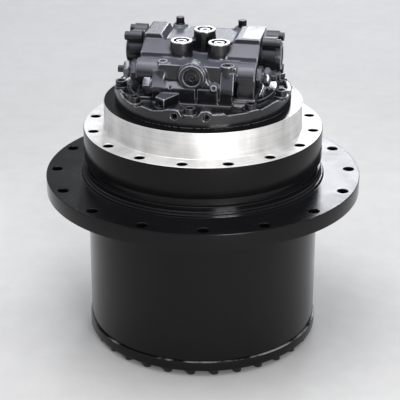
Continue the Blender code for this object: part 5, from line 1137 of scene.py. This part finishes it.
    def build_cartridges(self, finishes: Finishes) -> None:
        """Relief valves: hexagon body, groove, lock nut and adjusting stub on the gallery's axis."""
        nut = placed(hexagon_head(16.4, 133.9, 145.6), Matrix.Rotation(0.3, 4, "Z"))
        stub = round_bar((6.9, 146, 0), (6.9, 158.6, 0.8), (4.2, 158.6, 0.3), (3.6, 156, 0))
        bars = (((8, 88, 0), (8, 120, 0)), ((12, 128, 0), (12, 135, 0)),
                ((11, 142, 0), (11, 146.2, 0.6), (8, 147.6, 0.4)))
        for side, sign in SIDES:
            spot = towards(0, *self.gallery, (sign, 0, 0))
            form = Form().grid(hexagon_head(19.4, 118.4, 131.3)).grid(nut)
            for bar in bars:
                form.grid(round_bar(*bar))
            Form().grid(stub).moved(spot).piece(f"{side}_relief_stub", Slot.BOLT, finishes.bolt)
            form.moved(spot).piece(f"{side}_relief_cartridge", Slot.TURNED, finishes.bright,
                                   [f"{side}_relief_valve"])

    def build_plate(self, finishes: Finishes) -> None:
        """Bare plate on the right pad, held by two rivets."""
        rows = eased([(0, 0.2, 0), (1, 0.2, 0), (1, 1.2, 0.3), (0, 1.2, 0)])
        inset = (1 - rows[:, 0]) * 10
        flat = rounded_rectangle(18.5 - inset, 44 - inset, np.maximum(2 - inset, 0.5))
        height = np.broadcast_to(rows[:, 1][:, None, None], (*flat.shape[:2], 1))
        grid = np.concatenate([flat, height], -1)
        caps = [np.tile((0, 0, z), (1, flat.shape[1], 1)) for z in (0.2, 1.2)]
        form = Form().grid(np.concatenate([caps[0], grid, caps[1]]))
        rivet = round_bar((2.6, 0.6, 0), (2.4, 2.4, 1.4), (0, 2.8, 0), facets=20)
        form.copies(rivet, [Matrix.Translation((1, y, 0)) for y in (34, -28)])
        form.moved(Matrix.Translation((99, 28, self.pad_top))).piece(
            "bare_plate", Slot.TURNED, finishes.plate)


# Surroundings

@dataclass
class Studio:
    """Floor, soft lamps and the camera."""

    lens: float = 121.77
    pitch: float = math.radians(23.7)
    roll: float = math.radians(0.11)
    distance: float = 2610.0
    height: float = 1432.5
    offset: float = -5.9

    def camera(self) -> None:
        """Stand the camera where the photograph was taken."""
        right = Vector((math.cos(HUB_TURN), math.sin(HUB_TURN), 0.0))
        level = Vector((-math.sin(HUB_TURN), math.cos(HUB_TURN), 0.0))
        ahead = level * math.cos(self.pitch) - Vector((0.0, 0.0, math.sin(self.pitch)))
        up = right.cross(ahead)
        side = right * math.cos(self.roll) + up * math.sin(self.roll)
        up = up * math.cos(self.roll) - right * math.sin(self.roll)
        eye = (right * self.offset - level * self.distance + Vector((0.0, 0.0, self.height))) * MILLIMETRE
        data = bpy.data.cameras.new("camera")
        data.lens, data.sensor_width, data.clip_end = self.lens, 36.0, 100.0
        item = bpy.data.objects.new("camera", data)
        bpy.context.scene.collection.objects.link(item)
        item.matrix_world = Matrix.Translation(eye) @ Matrix((side, up, -ahead)).transposed().to_4x4()
        bpy.context.scene.camera = item

    def lamp(self, name: str, place: tuple, aim: tuple, size: tuple, power: float, colour: tuple) -> None:
        """Add one soft rectangular lamp that looks at a point, in metres."""
        data = bpy.data.lights.new(name, "AREA")
        data.shape, data.size, data.size_y = "RECTANGLE", *size
        data.energy, data.color = power, colour
        item = bpy.data.objects.new(name, data)
        item.location = place
        item.rotation_euler = (Vector(aim) - Vector(place)).to_track_quat("-Z", "Y").to_euler()
        bpy.context.scene.collection.objects.link(item)

    def world(self) -> None:
        """Sky that is brightest overhead."""
        world = bpy.data.worlds.new("studio")
        world.use_nodes = True
        tree = Tree(world.node_tree)
        up = tree.axes(tree.value("ShaderNodeTexCoord", output="Generated"))[2]
        colour = tree.value("ShaderNodeValToRGB", {"stops": [
            (0.0, (0.16, 0.16, 0.17)), (0.15, (0.2, 0.2, 0.21)), (0.42, (0.45, 0.46, 0.49)),
            (0.62, (1.7, 1.73, 1.82)), (1.0, (1.9, 1.93, 2.0))]}, {"Fac": up})
        sky = tree.value("ShaderNodeBackground", None, {"Color": colour, "Strength": 0.64})
        tree.node("ShaderNodeOutputWorld", None, {"Surface": sky})
        bpy.context.scene.world = world

    def build(self, finishes: Finishes) -> None:
        """Set up the floor, the lamps, the sky and the camera."""
        mesh = bpy.data.meshes.new("floor")
        mesh.from_pydata([(-9, -9, 0), (9, -9, 0), (9, 9, 0), (-9, 9, 0)], [], [(0, 1, 2, 3)])
        mesh.materials.append(finishes.floor)
        floor = bpy.data.objects.new("floor", mesh)
        bpy.context.scene.collection.objects.link(floor)
        floor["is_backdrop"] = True
        warm, cool = (1.0, 0.99, 0.98), (0.93, 0.95, 1.0)
        self.lamp("overhead", (-0.1, -0.5, 3.2), (0.0, -0.3, 0.3), (1.8, 1.6), 35.0, warm)
        self.lamp("front", (1.8, -3.1, 1.0), (0.0, 0.0, 0.5), (1.2, 0.8), 82.0, warm)
        self.lamp("back right", (0.12, 4.55, 2.3), (0.2, 0.0, 0.4), (1.0, 1.1), 48.0, cool)
        self.lamp("back middle", (-0.75, 4.4, 2.6), (0.0, 0.0, 0.6), (0.8, 1.0), 15.0, cool)
        self.world()
        self.camera()
        bpy.context.scene.view_settings.view_transform = "Standard"


def corners() -> list[list[float]]:
    """The model's box as plain lists."""
    return [[float(v) for v in corner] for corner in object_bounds()]


def main() -> None:
    """Build the pieces in order."""
    logging.basicConfig(level=logging.INFO, format="%(message)s")
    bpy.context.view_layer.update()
    finishes = Finishes()
    finishes.dress()
    for part in (Hub(), Case(), ValveBlock(), Studio()):
        part.build(finishes)


if __name__ == "__main__":
    main()
